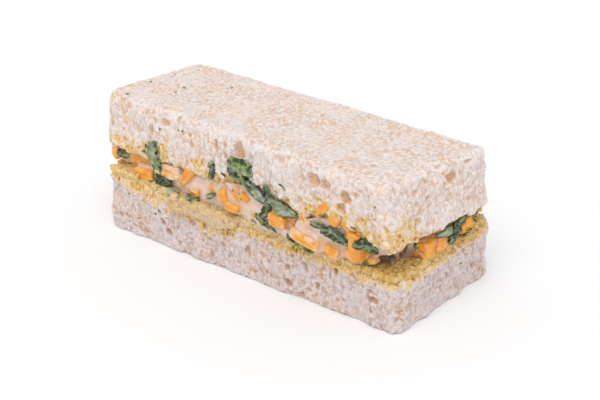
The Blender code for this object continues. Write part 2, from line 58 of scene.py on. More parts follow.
# Rays towards a side start this far out from the middle, past every surface.
OUTSIDE = 80.0
# Corners of a CAD mesh's loose triangles that are nearer than this become one.
WELD = 0.001
# A slice or pesto layer is thinned to at most this many triangles.
MOST_TRIANGLES = 190000
# What lies so far inside the filling's outline, and between these heights, is never seen.
HIDDEN_INSET = 3.0
HIDDEN_HEIGHTS = (9.0, 30.0)
# Faces that are seen are merged last: the weight of a point that is seen, where a hidden one
# has 1, and the cost that this puts on an edge.
SEEN_WEIGHT = 0.1
SEEN_COST = 1e-4

# Widths of what shows in open crumb: soft puffs, the cells of a lace of thin walls, and round
# lumps. A cell is a little taller than wide.
PUFF_SIZE = 2.3
CELL_SIZE = 1.15
LUMP_SIZE = 1.05
CELL_STRETCH = (1.0, 1.0, 0.75)
# The slow shift that makes patterns uneven: its width, and where each axis starts in the noise.
WARP_SIZE = 1.5
WARP_SHIFTS = (3.0, 9.0, 15.0)

log = logging.getLogger("sandwich")

# Points holds a row of x, y and z for each point, and Values a number for each. A Width is one
# width for all three axes, or one for each.
Points = np.ndarray
Values = np.ndarray
Width = float | tuple[float, float, float]


class Slot(Enum):
    """The record's material slots."""

    CRUMB = "crumb"
    PESTO = "pesto"
    FILLING = "filling"
    LEAF = "leaf"


class Side(Enum):
    """A side of the sandwich seen square on: the ways across it, up it and out of it."""

    FRONT = ((1.0, 0.0, 0.0), (0.0, 0.0, 1.0), (0.0, -1.0, 0.0))
    RIGHT = ((0.0, 1.0, 0.0), (0.0, 0.0, 1.0), (1.0, 0.0, 0.0))
    BACK = ((1.0, 0.0, 0.0), (0.0, 0.0, 1.0), (0.0, 1.0, 0.0))
    LEFT = ((0.0, 1.0, 0.0), (0.0, 0.0, 1.0), (-1.0, 0.0, 0.0))
    TOP = ((1.0, 0.0, 0.0), (0.0, 1.0, 0.0), (0.0, 0.0, 1.0))

    @property
    def along(self) -> Vector:
        """Direction in which places on this side are counted."""
        return Vector(self.value[0])

    @property
    def rise(self) -> Vector:
        """Direction in which heights on this side are counted."""
        return Vector(self.value[1])

    @property
    def outward(self) -> Vector:
        """Direction out of the sandwich."""
        return Vector(self.value[2])

    def spot(self, place: float, height: float, out: float) -> Vector:
        """The point at a place and height on this side, so far out from the middle."""
        return self.along * place + self.rise * height + self.outward * out


def linear(code: str) -> tuple[float, float, float, float]:
    """Turn an sRGB hex colour into linear numbers.

    Args:
        code: a colour such as "#E7D7D1".

    Returns:
        Linear red, green and blue, and full alpha.
    """
    shares = [int(code[start : start + 2], 16) / 255.0 for start in (1, 3, 5)]
    curved = [
        share / 12.92 if share <= 0.04045 else ((share + 0.055) / 1.055) ** 2.4
        for share in shares
    ]
    return (*curved, 1.0)


def add_node(
    tree: bpy.types.NodeTree, kind: str, inputs: dict | None = None, **settings: object
) -> bpy.types.Node:
    """Add a node with its settings and links.

    Args:
        tree: the material's nodes.
        kind: the node's type.
        inputs: for each input, by name or number, a value or the socket that feeds it.
        settings: properties of the node.

    Returns:
        The new node.
    """
    node = tree.nodes.new(kind)
    for name, value in settings.items():
        setattr(node, name, value)
    for key, value in (inputs or {}).items():
        if isinstance(value, bpy.types.NodeSocket):
            tree.links.new(value, node.inputs[key])
        else:
            node.inputs[key].default_value = value
    return node


def start_material(
    name: str,
) -> tuple[bpy.types.Material, bpy.types.NodeTree, bpy.types.Node]:
    """Start a material.

    Args:
        name: what the material is.

    Returns:
        The material, its nodes and its shader.
    """
    made = bpy.data.materials.new(name)
    made.use_nodes = True
    return made, made.node_tree, made.node_tree.nodes["Principled BSDF"]


def ease(values: Values, low: float, high: float) -> Values:
    """Rise smoothly from 0 at low to 1 at high."""
    share = np.clip((values - low) / (high - low), 0.0, 1.0)
    return share * share * (3.0 - 2.0 * share)


def band(values: Values, start: float, full: float, fading: float, end: float) -> Values:
    """Rise smoothly from 0 at start to 1 at full, and fall from fading to 0 at end."""
    return ease(values, start, full) * ease(-values, -end, -fading)


def grain(points: Points, size: Width, shift: float = 0.0, octaves: int = 1) -> Values:
    """Soft noise at many points.

    Args:
        points: places in millimetres.
        size: width of one lump of the noise, in millimetres.
        shift: moves the pattern, so that two uses differ.
        octaves: how many finer noises are added to the first.

    Returns:
        A value for each point, mostly within -1 to 1.
    """
    total = np.zeros(len(points))
    for octave in range(octaves):
        scaled = points * (2.0**octave) / np.array(size) + shift + 17.0 * octave
        total += 0.5**octave * np.array([noise.noise(point) for point in scaled.tolist()])
    return total


def pebbles(points: Points, size: float, shift: float = 0.0) -> Values:
    """Round lumps packed side by side.

    Args:
        points: places in millimetres.
        size: width of a lump, in millimetres.
        shift: moves the pattern, so that two uses differ.

    Returns:
        For each point 1 on top of a lump, falling to 0 in the cracks between lumps.
    """
    near = [noise.voronoi(point)[0][0] for point in (points / size + shift).tolist()]
    return np.maximum(0.0, 1.0 - 1.7 * np.array(near) ** 2)


def ridged(points: Points, size: Width, shift: float = 0.0) -> Values:
    """Narrow soft ridges between wide hollows.

    Args:
        points: places in millimetres.
        size: width of one hollow, in millimetres.
        shift: moves the pattern, so that two uses differ.

    Returns:
        For each point 1 on a ridge, falling to 0 beside it.
    """
    return 1.0 - np.minimum(2.6 * np.abs(grain(points, size, shift)), 1.0)


def unevenness(points: Points) -> Points:
    """A smooth shift for each point, which makes a regular pattern uneven."""
    return np.stack([grain(points, WARP_SIZE, shift, 2) for shift in WARP_SHIFTS], 1)


def crumb_relief(points: Points, warp: Points, seed: int) -> tuple[Values, Values]:
    """The relief of open crumb: soft puffs of small lumps, with a lace of thin walls.

    Args:
        points: places in millimetres.
        warp: a shift for each point, which makes the pattern uneven.
        seed: sets the pattern.

    Returns:
        For each point its height, about -0.5 to 0.5, and how deep it lies in a hollow of
        the lace, from 0 to 1.
    """
    tall = points * CELL_STRETCH + 0.6 * warp
    puffs = 1.0 - ridged(tall, PUFF_SIZE, seed)
    lace = ridged(tall, CELL_SIZE, seed + 4.0)
    knots = pebbles(points + 0.5 * warp, LUMP_SIZE, seed + 7.0)
    height = 0.36 * puffs + 0.3 * lace + 0.5 * knots - 0.55
    return height, 1.0 - 0.3 * puffs - 0.3 * lace - 0.45 * knots


def cast(trees: list[BVHTree], side: Side, place: float, height: float) -> float | None:
    """How far out the nearest surface lies at a place on a side.

    Args:
        trees: search trees, in metres.
        side: the side to look at.
        place: distance along the side, in millimetres.
        height: height above the floor, in millimetres.

    Returns:
        The distance out from the middle in millimetres, or None past the surface's edge.
    """
    start = side.spot(place, height, OUTSIDE) * MM
    found = []
    for tree in trees:
        hit = tree.ray_cast(start, -side.outward)[0]
        if hit is not None:
            found.append(hit.dot(side.outward) / MM)
    return max(found) if found else None


def turned(
    place: float, height: float, run: float, across: float, tilt: float
) -> tuple[float, float]:
    """Find where a point of a piece lies once the piece is turned on its side.

    Args:
        place: the piece's place along the side, in millimetres.
        height: its height, in millimetres.
        run: how far along the piece the point is, in millimetres.
        across: how far across it.
        tilt: the piece's rise, in radians.

    Returns:
        The point's place along the side and its height, in millimetres.
    """
    return (
        place + run * math.cos(tilt) - across * math.sin(tilt),
        height + run * math.sin(tilt) + across * math.cos(tilt),
    )


@dataclass(frozen=True)
class Pore:
    """One bubble cut open on a surface: its middle and its half sizes, in millimetres."""

    centre: tuple[float, float, float]
    radii: tuple[float, float, float]


@dataclass(frozen=True)
class Dent:
    """A bubble or dent that shows on a side: its place and half sizes, in millimetres."""

    side: Side
    place: float
    height: float
    wide: float
    tall: float
    deep: float

    def pore(self, tree: BVHTree) -> Pore:
        """Put the bubble's middle on the surface that lies behind it.

        Args:
            tree: search tree over that surface, in metres.

        Returns:
            The bubble.
        """
        side = self.side
        out = cast([tree], side, self.place, self.height) or 0.0
        centre = side.spot(self.place, self.height, out)
        reach = side.along * self.wide + side.rise * self.tall + side.outward * self.deep
        return Pore(tuple(centre), tuple(abs(part) for part in reach))


@dataclass(frozen=True)
class Ball:
    """A round crumb: its middle and radius, in millimetres."""

    centre: tuple[float, float, float]
    radius: float


def triangles(mesh: bpy.types.Mesh) -> int:
    """How many triangles a mesh's faces come to."""
    return len(mesh.loops) - 2 * len(mesh.polygons)


class Skin:
    """A dense closed mesh held as arrays in millimetres, worked like clay, then written back."""

    def __init__(self, mesh: bpy.types.Mesh) -> None:
        """Read a mesh.

        Args:
            mesh: a mesh in metres, which the skin writes back to.
        """
        self.mesh = mesh
        self.count = len(mesh.vertices)
        flat = np.empty(self.count * 3, np.float32)
        mesh.vertices.foreach_get("co", flat)
        self.points = flat.reshape(-1, 3).astype(float) / MM
        ends = np.empty(len(mesh.edges) * 2, np.int32)
        mesh.edges.foreach_get("vertices", ends)
        self.starts, self.ends = ends.reshape(-1, 2).T
        self.degree = np.bincount(self.starts, minlength=self.count)
        self.degree = self.degree + np.bincount(self.ends, minlength=self.count)
        self.refresh()

    def refresh(self) -> None:
        """Write the points back to the mesh, and read the normals that it has then."""
        self.mesh.vertices.foreach_set("co", (self.points * MM).astype(np.float32).ravel())
        self.mesh.update()
        flat = np.empty(self.count * 3, np.float32)
        self.mesh.vertex_normals.foreach_get("vector", flat)
        self.normals = flat.reshape(-1, 3).astype(float)

    def smoothed(self, values: Values, rounds: int, weight: float = 1.0) -> Values:
        """Average values over neighbouring points.

        Args:
            values: one row or number for each point.
            rounds: how often neighbours are averaged.
            weight: how far each round goes towards the average.

        Returns:
            The averaged values.
        """
        columns = values.reshape(self.count, -1).copy()
        for _ in range(rounds):
            for index in range(columns.shape[1]):
                column = columns[:, index]
                total = np.bincount(self.starts, column[self.ends], self.count)
                total += np.bincount(self.ends, column[self.starts], self.count)
                columns[:, index] = column + weight * (total / self.degree - column)
        return columns.reshape(values.shape)

    def relax(self, rounds: int, weight: float = 1.0) -> None:
        """Smooth the shape itself."""
        self.points = self.smoothed(self.points, rounds, weight)
        self.refresh()

    def push(self, distance: Values) -> None:
        """Move each point along its normal."""
        self.points = self.points + self.normals * distance[:, None]

    def carve(self, pores: list[Pore], warp: Points) -> Values:
        """Find how deep a set of pores cuts into the surface.

        Args:
            pores: bubbles that reach through the surface.
            warp: a shift for each point, which makes the bubbles' walls uneven.

        Returns:
            For each point, how far it has to move in to lie on the wall of a bubble.
        """
        tree = KDTree(self.count)
        warped = self.points + warp
        for index, point in enumerate(warped.tolist()):
            tree.insert(point, index)
        tree.balance()
        touched: list[int] = []
        owners: list[int] = []
        for number, pore in enumerate(pores):
            near = [index for _, index, _ in tree.find_range(pore.centre, max(pore.radii))]
            touched.extend(near)
            owners.extend([number] * len(near))
        depth = np.zeros(self.count)
        if not touched:
            return depth
        rows, owner = np.array(touched), np.array(owners)
        radii = np.array([pore.radii for pore in pores])[owner]
        away = (warped[rows] - np.array([pore.centre for pore in pores])[owner]) / radii
        inward = -self.normals[rows] / radii
        squared = (inward * inward).sum(1)
        half = (away * inward).sum(1)
        inside = half * half - squared * ((away * away).sum(1) - 1.0)
        reach = (np.sqrt(np.maximum(inside, 0.0)) - half) / squared
        reach[(inside <= 0.0) | ((away * away).sum(1) >= 1.0)] = 0.0
        np.maximum.at(depth, rows, reach)
        return depth

    def hollows(self, rounds: int) -> Values:
        """How far each point lies below the surface's own average, in millimetres."""
        soft = self.smoothed(self.points, rounds)
        return ((soft - self.points) * self.normals).sum(1)

    def keep(self, name: str, values: Values) -> None:
        """Store a value for each point as a named attribute."""
        layer = self.mesh.attributes.new(name, "FLOAT", "POINT")
        layer.data.foreach_set("value", values.astype(np.float32))

    def merge_weights(self) -> Values:
        """Find the points that the filling hides, well inside its outline.

        Returns:
            For each point 1 where it is hidden and SEEN_WEIGHT elsewhere.
        """
        tree = cad_tree("filling")
        low, high = HIDDEN_HEIGHTS
        deep = (self.points[:, 2] > low) & (self.points[:, 2] < high)
        weights = np.full(self.count, SEEN_WEIGHT)
        steps = [Vector(way) * HIDDEN_INSET for way in ((1, 0), (-1, 0), (0, 1), (0, -1))]
        for index in np.flatnonzero(deep).tolist():
            x, y, _ = self.points[index]
            tops = (Vector((x + step.x, y + step.y, OUTSIDE)) * MM for step in steps)
            if all(tree.ray_cast(top, -UP)[0] is not None for top in tops):
                weights[index] = 1.0
        return weights

    def thinned(self, most: int = MOST_TRIANGLES) -> "Skin":
        """Merge small faces, first the ones that the filling hides.

        Args:
            most: how many triangles may be left.

        Returns:
            The skin with few enough triangles.
        """
        self.refresh()
        count = triangles(self.mesh)
        if count <= most:
            return self
        made = reworked(
            self.mesh, "DECIMATE", self.merge_weights(),
            vertex_group_factor=SEEN_COST, ratio=most / count,
        )
        log.info("thinned from %d to %d triangles", count, triangles(made))
        return Skin(made)

    def finish(self, name: str, finish: bpy.types.Material) -> bpy.types.Object:
        """Write the shape back and make it an object.

        Args:
            name: the object's name.
            finish: its material.

        Returns:
            The object, at the origin.
        """
        self.refresh()
        self.mesh.name = name
        self.mesh.materials.clear()
        self.mesh.materials.append(finish)
        self.mesh.shade_smooth()
        item = bpy.data.objects.new(name, self.mesh)
        bpy.context.scene.collection.objects.link(item)
        return item


def written(bm: bmesh.types.BMesh, name: str) -> bpy.types.Mesh:
    """Write a bmesh to a new mesh and free it.

    Args:
        bm: the bmesh, in metres.
        name: the mesh's name.

    Returns:
        The mesh.
    """
    mesh = bpy.data.meshes.new(name)
    bm.to_mesh(mesh)
    bm.free()
    return mesh


def merged_copy(node: str) -> bpy.types.Mesh:
    """Copy a CAD node's loose triangles into one joined mesh.

    Args:
        node: the node's name.

    Returns:
        The mesh, in metres.
    """
    bm = bmesh.new()
    bm.from_mesh(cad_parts[node].data)
    bmesh.ops.remove_doubles(bm, verts=bm.verts, dist=WELD * MM)
    return written(bm, node + "_copy")


def reworked(
    mesh: bpy.types.Mesh, kind: str, weights: Values | None = None, **settings: object
) -> bpy.types.Mesh:
    """Run one modifier over a mesh.

    Args:
        mesh: the mesh.
        kind: the modifier's type.
        weights: how much each point takes part, from 0 to 1.
        settings: properties of the modifier.

    Returns:
        The mesh that the modifier makes.
    """
    holder = bpy.data.objects.new("holder", mesh)
    bpy.context.scene.collection.objects.link(holder)
    rework = holder.modifiers.new("rework", kind)
    if weights is not None:
        group = holder.vertex_groups.new(name="weights")
        for weight in np.unique(weights).tolist():
            group.add(np.flatnonzero(weights == weight).tolist(), weight, "REPLACE")
        rework.vertex_group = group.name
    for name, value in settings.items():
        setattr(rework, name, value)
    graph = bpy.context.evaluated_depsgraph_get()
    made = bpy.data.meshes.new_from_object(holder.evaluated_get(graph))
    bpy.data.objects.remove(holder, do_unlink=True)
    return made


def even_skin(mesh: bpy.types.Mesh, voxel: float, balls: Sequence[Ball] = ()) -> Skin:
    """Remesh a closed mesh with even small faces.

    Args:
        mesh: the closed mesh, in metres.
        voxel: width of a face in millimetres.
        balls: crumbs that become one with the mesh.

    Returns:
        The dense skin.
    """
    bm = bmesh.new()
    bm.from_mesh(mesh)
    for ball in balls:
        place = Matrix.Translation(Vector(ball.centre) * MM)
        bmesh.ops.create_icosphere(bm, subdivisions=2, radius=ball.radius * MM, matrix=place)
    bm.to_mesh(mesh)
    bm.free()
    return Skin(reworked(mesh, "REMESH", mode="VOXEL", voxel_size=voxel * MM))


def thicken(bm: bmesh.types.BMesh, faces: list[bmesh.types.BMFace], way: Vector) -> None:
    """Give a sheet its thickness.

    Args:
        bm: the bmesh that holds the sheet.
        faces: the sheet's faces.
        way: from the sheet to its other side, in metres.
    """
    made = bmesh.ops.extrude_face_region(bm, geom=faces, use_keep_orig=True)["geom"]
    points = [item for item in made if isinstance(item, bmesh.types.BMVert)]
    bmesh.ops.translate(bm, verts=points, vec=way)


def tree_over(mesh: bpy.types.Mesh) -> BVHTree:
    """A search tree over a mesh.

    Args:
        mesh: the mesh.

    Returns:
        The tree, in metres.
    """
    bm = bmesh.new()
    bm.from_mesh(mesh)
    tree = BVHTree.FromBMesh(bm)
    bm.free()
    return tree


def cad_tree(node: str) -> BVHTree:
    """A search tree over a CAD node, in metres."""
    return tree_over(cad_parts[node].data)


def settle(item: bpy.types.Object, slot: Slot, *nodes: str) -> bpy.types.Object:
    """Make a piece ride on the sandwich and stand for its CAD nodes.

    Args:
        item: the finished piece.
        slot: its material slot; not used.
        nodes: the CAD nodes that it stands for.

    Returns:
        The same piece.
    """
    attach(item, ROOT)
    if nodes:
        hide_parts(*nodes)
    log.info("%s: %d faces", item.name, len(item.data.polygons))
    return item


@dataclass(frozen=True)
class CrumbFinish:
    """Soft white bread: matt, with pale cell walls over peach hollows, yellow where soaked. The
    hollows carry painted shade and the raised walls painted light.
    """

    name: str = "white_bread_crumb"
    wall: str = "#F1E8E6"
    crumb: str = "#DFCDC4"
    hollow: str = "#E4BE9E"
    warm: str = "#E6CDBA"
    stain: str = "#E3B869"
    stain_pale: str = "#F0D3A4"
    stain_dark: str = "#B28336"
    blotch_size: float = 9.0
    fleck_size: float = 1.6
    cell_size: float = 0.7
    lump_size: float = 0.6
    grit_size: float = 0.3
    warp_size: float = 1.0
    warp: float = 0.6

    def build(self) -> bpy.types.Material:
        """Make the bread crumb's material.

        Returns:
            A material that reads the attributes pit and stain.
        """
        # Bread crumb: matt all over, and light sinks in and comes out warm. The pale cell walls
        # and peach pores are partly the crumb's own colour and partly painted: pit, the mesh's own
        # recess depth, paints shade into the hollows and light onto the raised lace. Soaked crumb
        # looks yellow.
        made, tree, shader = start_material(self.name)
        place = add_node(tree, "ShaderNodeTexCoord").outputs["Object"]
        pit = add_node(tree, "ShaderNodeAttribute", attribute_name="pit").outputs["Fac"]
        stain = add_node(tree, "ShaderNodeAttribute", attribute_name="stain").outputs["Fac"]
        drift = add_node(
            tree, "ShaderNodeTexNoise",
            {"Vector": place, "Scale": 1.0 / (self.warp_size * MM), "Detail": 2.0},
        )
        around = add_node(
            tree, "ShaderNodeVectorMath",
            {0: drift.outputs["Color"], 1: (0.5, 0.5, 0.5)},
            operation="SUBTRACT",
        )
        bent = add_node(
            tree, "ShaderNodeVectorMath",
            {0: around.outputs[0], 1: (self.warp * MM,) * 3, 2: place},
            operation="MULTIPLY_ADD",
        )
        blotch = add_node(
            tree, "ShaderNodeTexNoise",
            {"Vector": place, "Scale": 1.0 / (self.blotch_size * MM), "Detail": 3.0},
        )
        fleck = add_node(
            tree, "ShaderNodeTexNoise",
            {"Vector": place, "Scale": 1.0 / (self.fleck_size * MM), "Detail": 3.0},
        )
        grit = add_node(
            tree, "ShaderNodeTexNoise",
            {"Vector": place, "Scale": 1.0 / (self.grit_size * MM), "Detail": 2.0},
        )
        cell = add_node(
            tree, "ShaderNodeTexVoronoi",
            {"Vector": bent.outputs[0], "Scale": 1.0 / (self.cell_size * MM)},
            feature="DISTANCE_TO_EDGE",
        )
        wall = add_node(
            tree, "ShaderNodeMapRange",
            {"Value": cell.outputs["Distance"], "From Min": 0.02, "From Max": 0.24,
             "To Min": 1.0, "To Max": 0.0},
            interpolation_type="SMOOTHSTEP",
        )
        open_share = add_node(
            tree, "ShaderNodeMapRange",
            {"Value": fleck.outputs["Fac"], "From Min": 0.32, "From Max": 0.56},
            interpolation_type="SMOOTHSTEP",
        )
        depth = add_node(
            tree, "ShaderNodeMapRange",
            {"Value": cell.outputs["Distance"], "From Min": 0.12, "From Max": 0.42},
            interpolation_type="SMOOTHSTEP",
        )
        small = add_node(
            tree, "ShaderNodeMath",
            {0: depth.outputs[0], 1: open_share.outputs[0]},
            operation="MULTIPLY",
        )
        warmth = add_node(
            tree, "ShaderNodeMapRange",
            {"Value": blotch.outputs["Fac"], "From Min": 0.42, "From Max": 0.66},
            interpolation_type="SMOOTHSTEP",
        )
        base = add_node(
            tree, "ShaderNodeMix",
            {0: warmth.outputs[0], 6: linear(self.crumb), 7: linear(self.warm)},
            data_type="RGBA",
        )
        large = add_node(
            tree, "ShaderNodeMapRange",
            {"Value": pit, "From Min": 0.35, "From Max": 1.0},
            interpolation_type="SMOOTHSTEP",
        )
        # Painted shade: the hollow colour grows with pit, which is high in the mesh's recesses.
        deep = add_node(
            tree, "ShaderNodeMath",
            {0: small.outputs[0], 1: 0.5, 2: large.outputs[0]},
            operation="MULTIPLY_ADD", use_clamp=True,
        )
        holed = add_node(
            tree, "ShaderNodeMix",
            {0: deep.outputs[0], 6: base.outputs[2], 7: linear(self.hollow)},
            data_type="RGBA",
        )
        # Painted light: the pale wall colour is strongest where pit is low, on the raised lace.
        high = add_node(
            tree, "ShaderNodeMapRange",
            {"Value": pit, "From Min": 0.5, "From Max": 0.12},
        )
        rim_share = add_node(
            tree, "ShaderNodeMath",
            {0: wall.outputs[0], 1: 0.45, 2: 0.55},
            operation="MULTIPLY_ADD",
        )
        rim = add_node(
            tree, "ShaderNodeMath",
            {0: high.outputs[0], 1: rim_share.outputs[0]},
            operation="MULTIPLY",
        )
        pale = add_node(
            tree, "ShaderNodeMix",
            {0: rim.outputs[0], 6: holed.outputs[2], 7: linear(self.wall)},
            data_type="RGBA",
        )
        soak = add_node(
            tree, "ShaderNodeMapRange",
            {"Value": fleck.outputs["Fac"], "From Min": 0.34, "From Max": 0.66,
             "To Min": -0.45, "To Max": 0.35},
        )
        soaked = add_node(
            tree, "ShaderNodeMath", {0: stain, 1: soak.outputs[0]}, operation="ADD"
        )
        soak_share = add_node(
            tree, "ShaderNodeMapRange",
            {"Value": soaked.outputs[0], "From Min": 0.2, "From Max": 1.0},
            interpolation_type="SMOOTHSTEP",
        )
        # Soaked crumb: stain_pale on the raised lace is painted light, and stain_dark in the
        # recesses is painted shade.
        soak_base = add_node(
            tree, "ShaderNodeMix",
            {0: rim.outputs[0], 6: linear(self.stain), 7: linear(self.stain_pale)},
            data_type="RGBA",
        )
        soak_colour = add_node(
            tree, "ShaderNodeMix",
            {0: deep.outputs[0], 6: soak_base.outputs[2], 7: linear(self.stain_dark)},
            data_type="RGBA",
        )
        coloured = add_node(
            tree, "ShaderNodeMix",
            {0: soak_share.outputs[0], 6: pale.outputs[2], 7: soak_colour.outputs[2]},
            data_type="RGBA",
        )
        lump = add_node(
            tree, "ShaderNodeTexVoronoi",
            {"Vector": bent.outputs[0], "Scale": 1.0 / (self.lump_size * MM),
             "Smoothness": 0.35},
            feature="SMOOTH_F1",
        )
        knot = add_node(
            tree, "ShaderNodeMapRange",
            {"Value": lump.outputs["Distance"], "From Min": 0.75, "From Max": 0.05},
            interpolation_type="SMOOTHSTEP",
        )
        relief = add_node(
            tree, "ShaderNodeMath",
            {0: grit.outputs["Fac"], 1: 0.5, 2: knot.outputs[0]},
            operation="MULTIPLY_ADD",
        )
        bump = add_node(
            tree, "ShaderNodeBump",
            {"Height": relief.outputs[0], "Strength": 0.7, "Distance": 0.3 * MM},
        )
        tree.links.new(coloured.outputs[2], shader.inputs["Base Color"])
        tree.links.new(bump.outputs["Normal"], shader.inputs["Normal"])
        shader.inputs["Roughness"].default_value = 0.95
        shader.inputs["Specular IOR Level"].default_value = 0.15
        shader.inputs["Subsurface Weight"].default_value = 0.65
        shader.inputs["Subsurface Radius"].default_value = (1.0, 0.75, 0.62)
        shader.inputs["Subsurface Scale"].default_value = 0.9 * MM
        return made


@dataclass(frozen=True)
class PoreRule:
    """How pores are scattered over part of a slice.

    density is how many there are to a square millimetre, and narrow and wide are the least and
    greatest half width, in millimetres. sink is how far a pore's middle stands over the surface,
    least and most, as a share of its half width.
    """

    density: float
    narrow: float
    wide: float
    sink: tuple[float, float]


@dataclass
class BreadSlice:
    """A slice of white bread: torn open sides, a finely pitted face and a soaked edge.

    facing is 1 where the filling lies above the slice and -1 where it lies below. reach
    says how far pesto has soaked in at places along the front, both in millimetres, and
    end_reach how far on the other sides. Crumb nearer to the pesto than inset is full of it.

    The slice is pushed out by swell. Torn sides have tears, knobs and fibres, each with its own
    width and height, and the top and bottom faces are flatter. relief is the height of the
    crumb's puffs and walls and pore_depth the deepest small pore, all in millimetres. dent_share
    is how much of a dent's depth is pressed in.
    """

    node: str
    pesto: str
    name: str
    seed: int
    facing: float
    reach: tuple[tuple[float, float], ...]
    dents: tuple[Dent, ...] = ()
    crumbs: int = 150
    voxel: float = 0.27
    swell: float = 0.32
    side_rules: tuple[PoreRule, ...] = (
        PoreRule(0.22, 0.35, 0.7, (0.3, 0.8)),
        PoreRule(0.018, 0.8, 1.4, (0.5, 0.85)),
    )
    face_rules: tuple[PoreRule, ...] = (
        PoreRule(0.16, 0.35, 0.7, (0.4, 0.8)),
        PoreRule(0.012, 0.7, 1.1, (0.6, 0.9)),
    )
    relief: float = 0.4
    pore_depth: float = 0.65
    dent_share: float = 0.85
    tear_size: Width = 4.4
    tear_depth: float = 0.5
    knob_size: Width = 1.9
    knob_height: float = 0.26
    fibre_size: Width = (0.9, 0.9, 3.4)
    fibre_height: float = 0.14
    face_height: float = 0.12
    end_reach: float = 1.6
    inset: float = 1.2

    def rim(self, draw: np.random.Generator) -> list[Ball]:
        """Crumbs that hang from, or stand on, the edge that faces the filling.

        Args:
            draw: the seeded source of chance.

        Returns:
            The crumbs.
        """
        skin = even_skin(merged_copy(self.node), 0.8)
        slope = skin.normals[:, 2] * self.facing
        rows = draw.choice(np.flatnonzero((slope > 0.15) & (slope < 0.8)), self.crumbs)
        sizes = 0.4 + 0.75 * draw.random(self.crumbs) ** 1.6
        places = skin.points[rows] - skin.normals[rows] * (0.35 * sizes)[:, None]
        places[:, 2] += self.facing * draw.uniform(-0.3, 0.55, self.crumbs)
        return [Ball(tuple(place), size) for place, size in zip(places.tolist(), sizes)]

    def scatter(
        self, skin: Skin, rule: PoreRule, share: Values, draw: np.random.Generator
    ) -> list[Pore]:
        """Spread pores over the part of the skin where share is above a half.

        Args:
            skin: the slice so far.
            rule: how many pores and of what size.
            share: which points belong to this part, from 0 to 1.
            draw: the seeded source of chance.

        Returns:
            The pores, with their middles just over the surface.
        """
        rows = np.flatnonzero(share > 0.5)
        area = len(rows) * self.voxel**2
        chosen = draw.choice(rows, size=min(len(rows), int(area * rule.density)), replace=False)
        width = rule.narrow + (rule.wide - rule.narrow) * draw.random(len(chosen)) ** 2
        rise = width * draw.uniform(*rule.sink, len(chosen))
        middles = skin.points[chosen] + skin.normals[chosen] * rise[:, None]
        squash = draw.uniform(0.7, 1.4, (len(chosen), 3))
        return [
            Pore(tuple(middle), tuple(size * axis))
            for middle, size, axis in zip(middles.tolist(), width, squash)
        ]

    def build(self, finish: bpy.types.Material) -> bpy.types.Object:
        """Grow the slice's crumb from its CAD solid.

        Args:
            finish: the crumb's material.

        Returns:
            The finished slice.
        """
        draw = np.random.default_rng(self.seed)
        skin = even_skin(merged_copy(self.node), self.voxel, self.rim(draw))
        skin.relax(4, 0.8)
        side = 1.0 - ease(np.abs(skin.normals[:, 2]), 0.5, 0.85)
        resting = skin.points[:, 2] < 0.05
        tear = grain(skin.points, self.tear_size, self.seed, 2)
        knobs = grain(skin.points, self.knob_size, self.seed + 5.0, 2)
        fibres = grain(skin.points, self.fibre_size, self.seed + 8.0, 2)
        torn = self.tear_depth * tear + self.knob_height * knobs + self.fibre_height * fibres
        skin.push(self.swell + side * torn + (1.0 - side) * self.face_height * knobs)
        skin.refresh()
        warp = unevenness(skin.points)
        tree = cad_tree(self.node)
        pores: list[Pore] = []
        for rule in self.side_rules:
            pores += self.scatter(skin, rule, side, draw)
        for rule in self.face_rules:
            pores += self.scatter(skin, rule, 1.0 - side, draw)
        dented = skin.carve([dent.pore(tree) for dent in self.dents], 0.35 * warp)
        depth = self.pore_depth * np.tanh(skin.carve(pores, 0.5 * warp) / self.pore_depth)
        depth = skin.smoothed(np.maximum(depth, self.dent_share * dented), 2, 0.8)
        height, web = crumb_relief(skin.points, warp, self.seed)
        rough = 0.55 + 0.45 * ease(grain(skin.points, 5.0, 41.0), -0.3, 0.3)
        rough *= 1.0 - 0.75 * ease(dented, 0.2, 0.8)
        skin.push(self.relief * rough * height * (1.5 - 0.4 * side) - depth)
        skin.relax(1, 0.1)
        skin.points[:, 2] = np.maximum(skin.points[:, 2], 0.0)
        skin.refresh()
        # pit is high in the relief's lace hollows, in carved pores and dents and where the surface
        # lies below its own average; the crumb finish paints shade there with it.
        pit = 0.1 + (0.66 - 0.1 * side) * web * rough + 0.4 * depth / self.pore_depth
        pit += 0.3 * skin.hollows(5) / 0.2
        skin.keep("pit", np.clip(pit, 0.0, 1.0))
        skin.keep("stain", np.where(resting, 0.0, self.soak(skin)))
        return settle(skin.thinned().finish(self.name, finish), Slot.CRUMB, self.node)

    def soak(self, skin: Skin) -> Values:
        """How much pesto each point has soaked up, by its distance and place on the side.

        Args:
            skin: the slice so far.

        Returns:
            For each point 1 where it is full of pesto, down to 0 where it is clean.
        """
        tree = cad_tree(self.pesto)
        far = np.array([tree.find_nearest(point)[3] for point in (skin.points * MM).tolist()])
        places, reaches = zip(*self.reach)
        front = ease(-skin.points[:, 1], 9.0, 14.0)
        along = np.interp(skin.points[:, 0], places, reaches)
        reach = self.end_reach + front * (along - self.end_reach)
        wander = 0.55 * grain(skin.points, 2.2, 2.0, 2)
        away = np.maximum(far / MM - self.inset, 0.0)
        soaked = 1.0 - ease(away / reach + wander, 0.0, 1.05)
        patches = ease(grain(skin.points, 4.0, 6.0, 2), -0.3, 0.4)
        ochre = ease(-skin.points[:, 0], 45.0, 49.5) * patches
        return np.maximum(soaked, 0.7 * ochre)


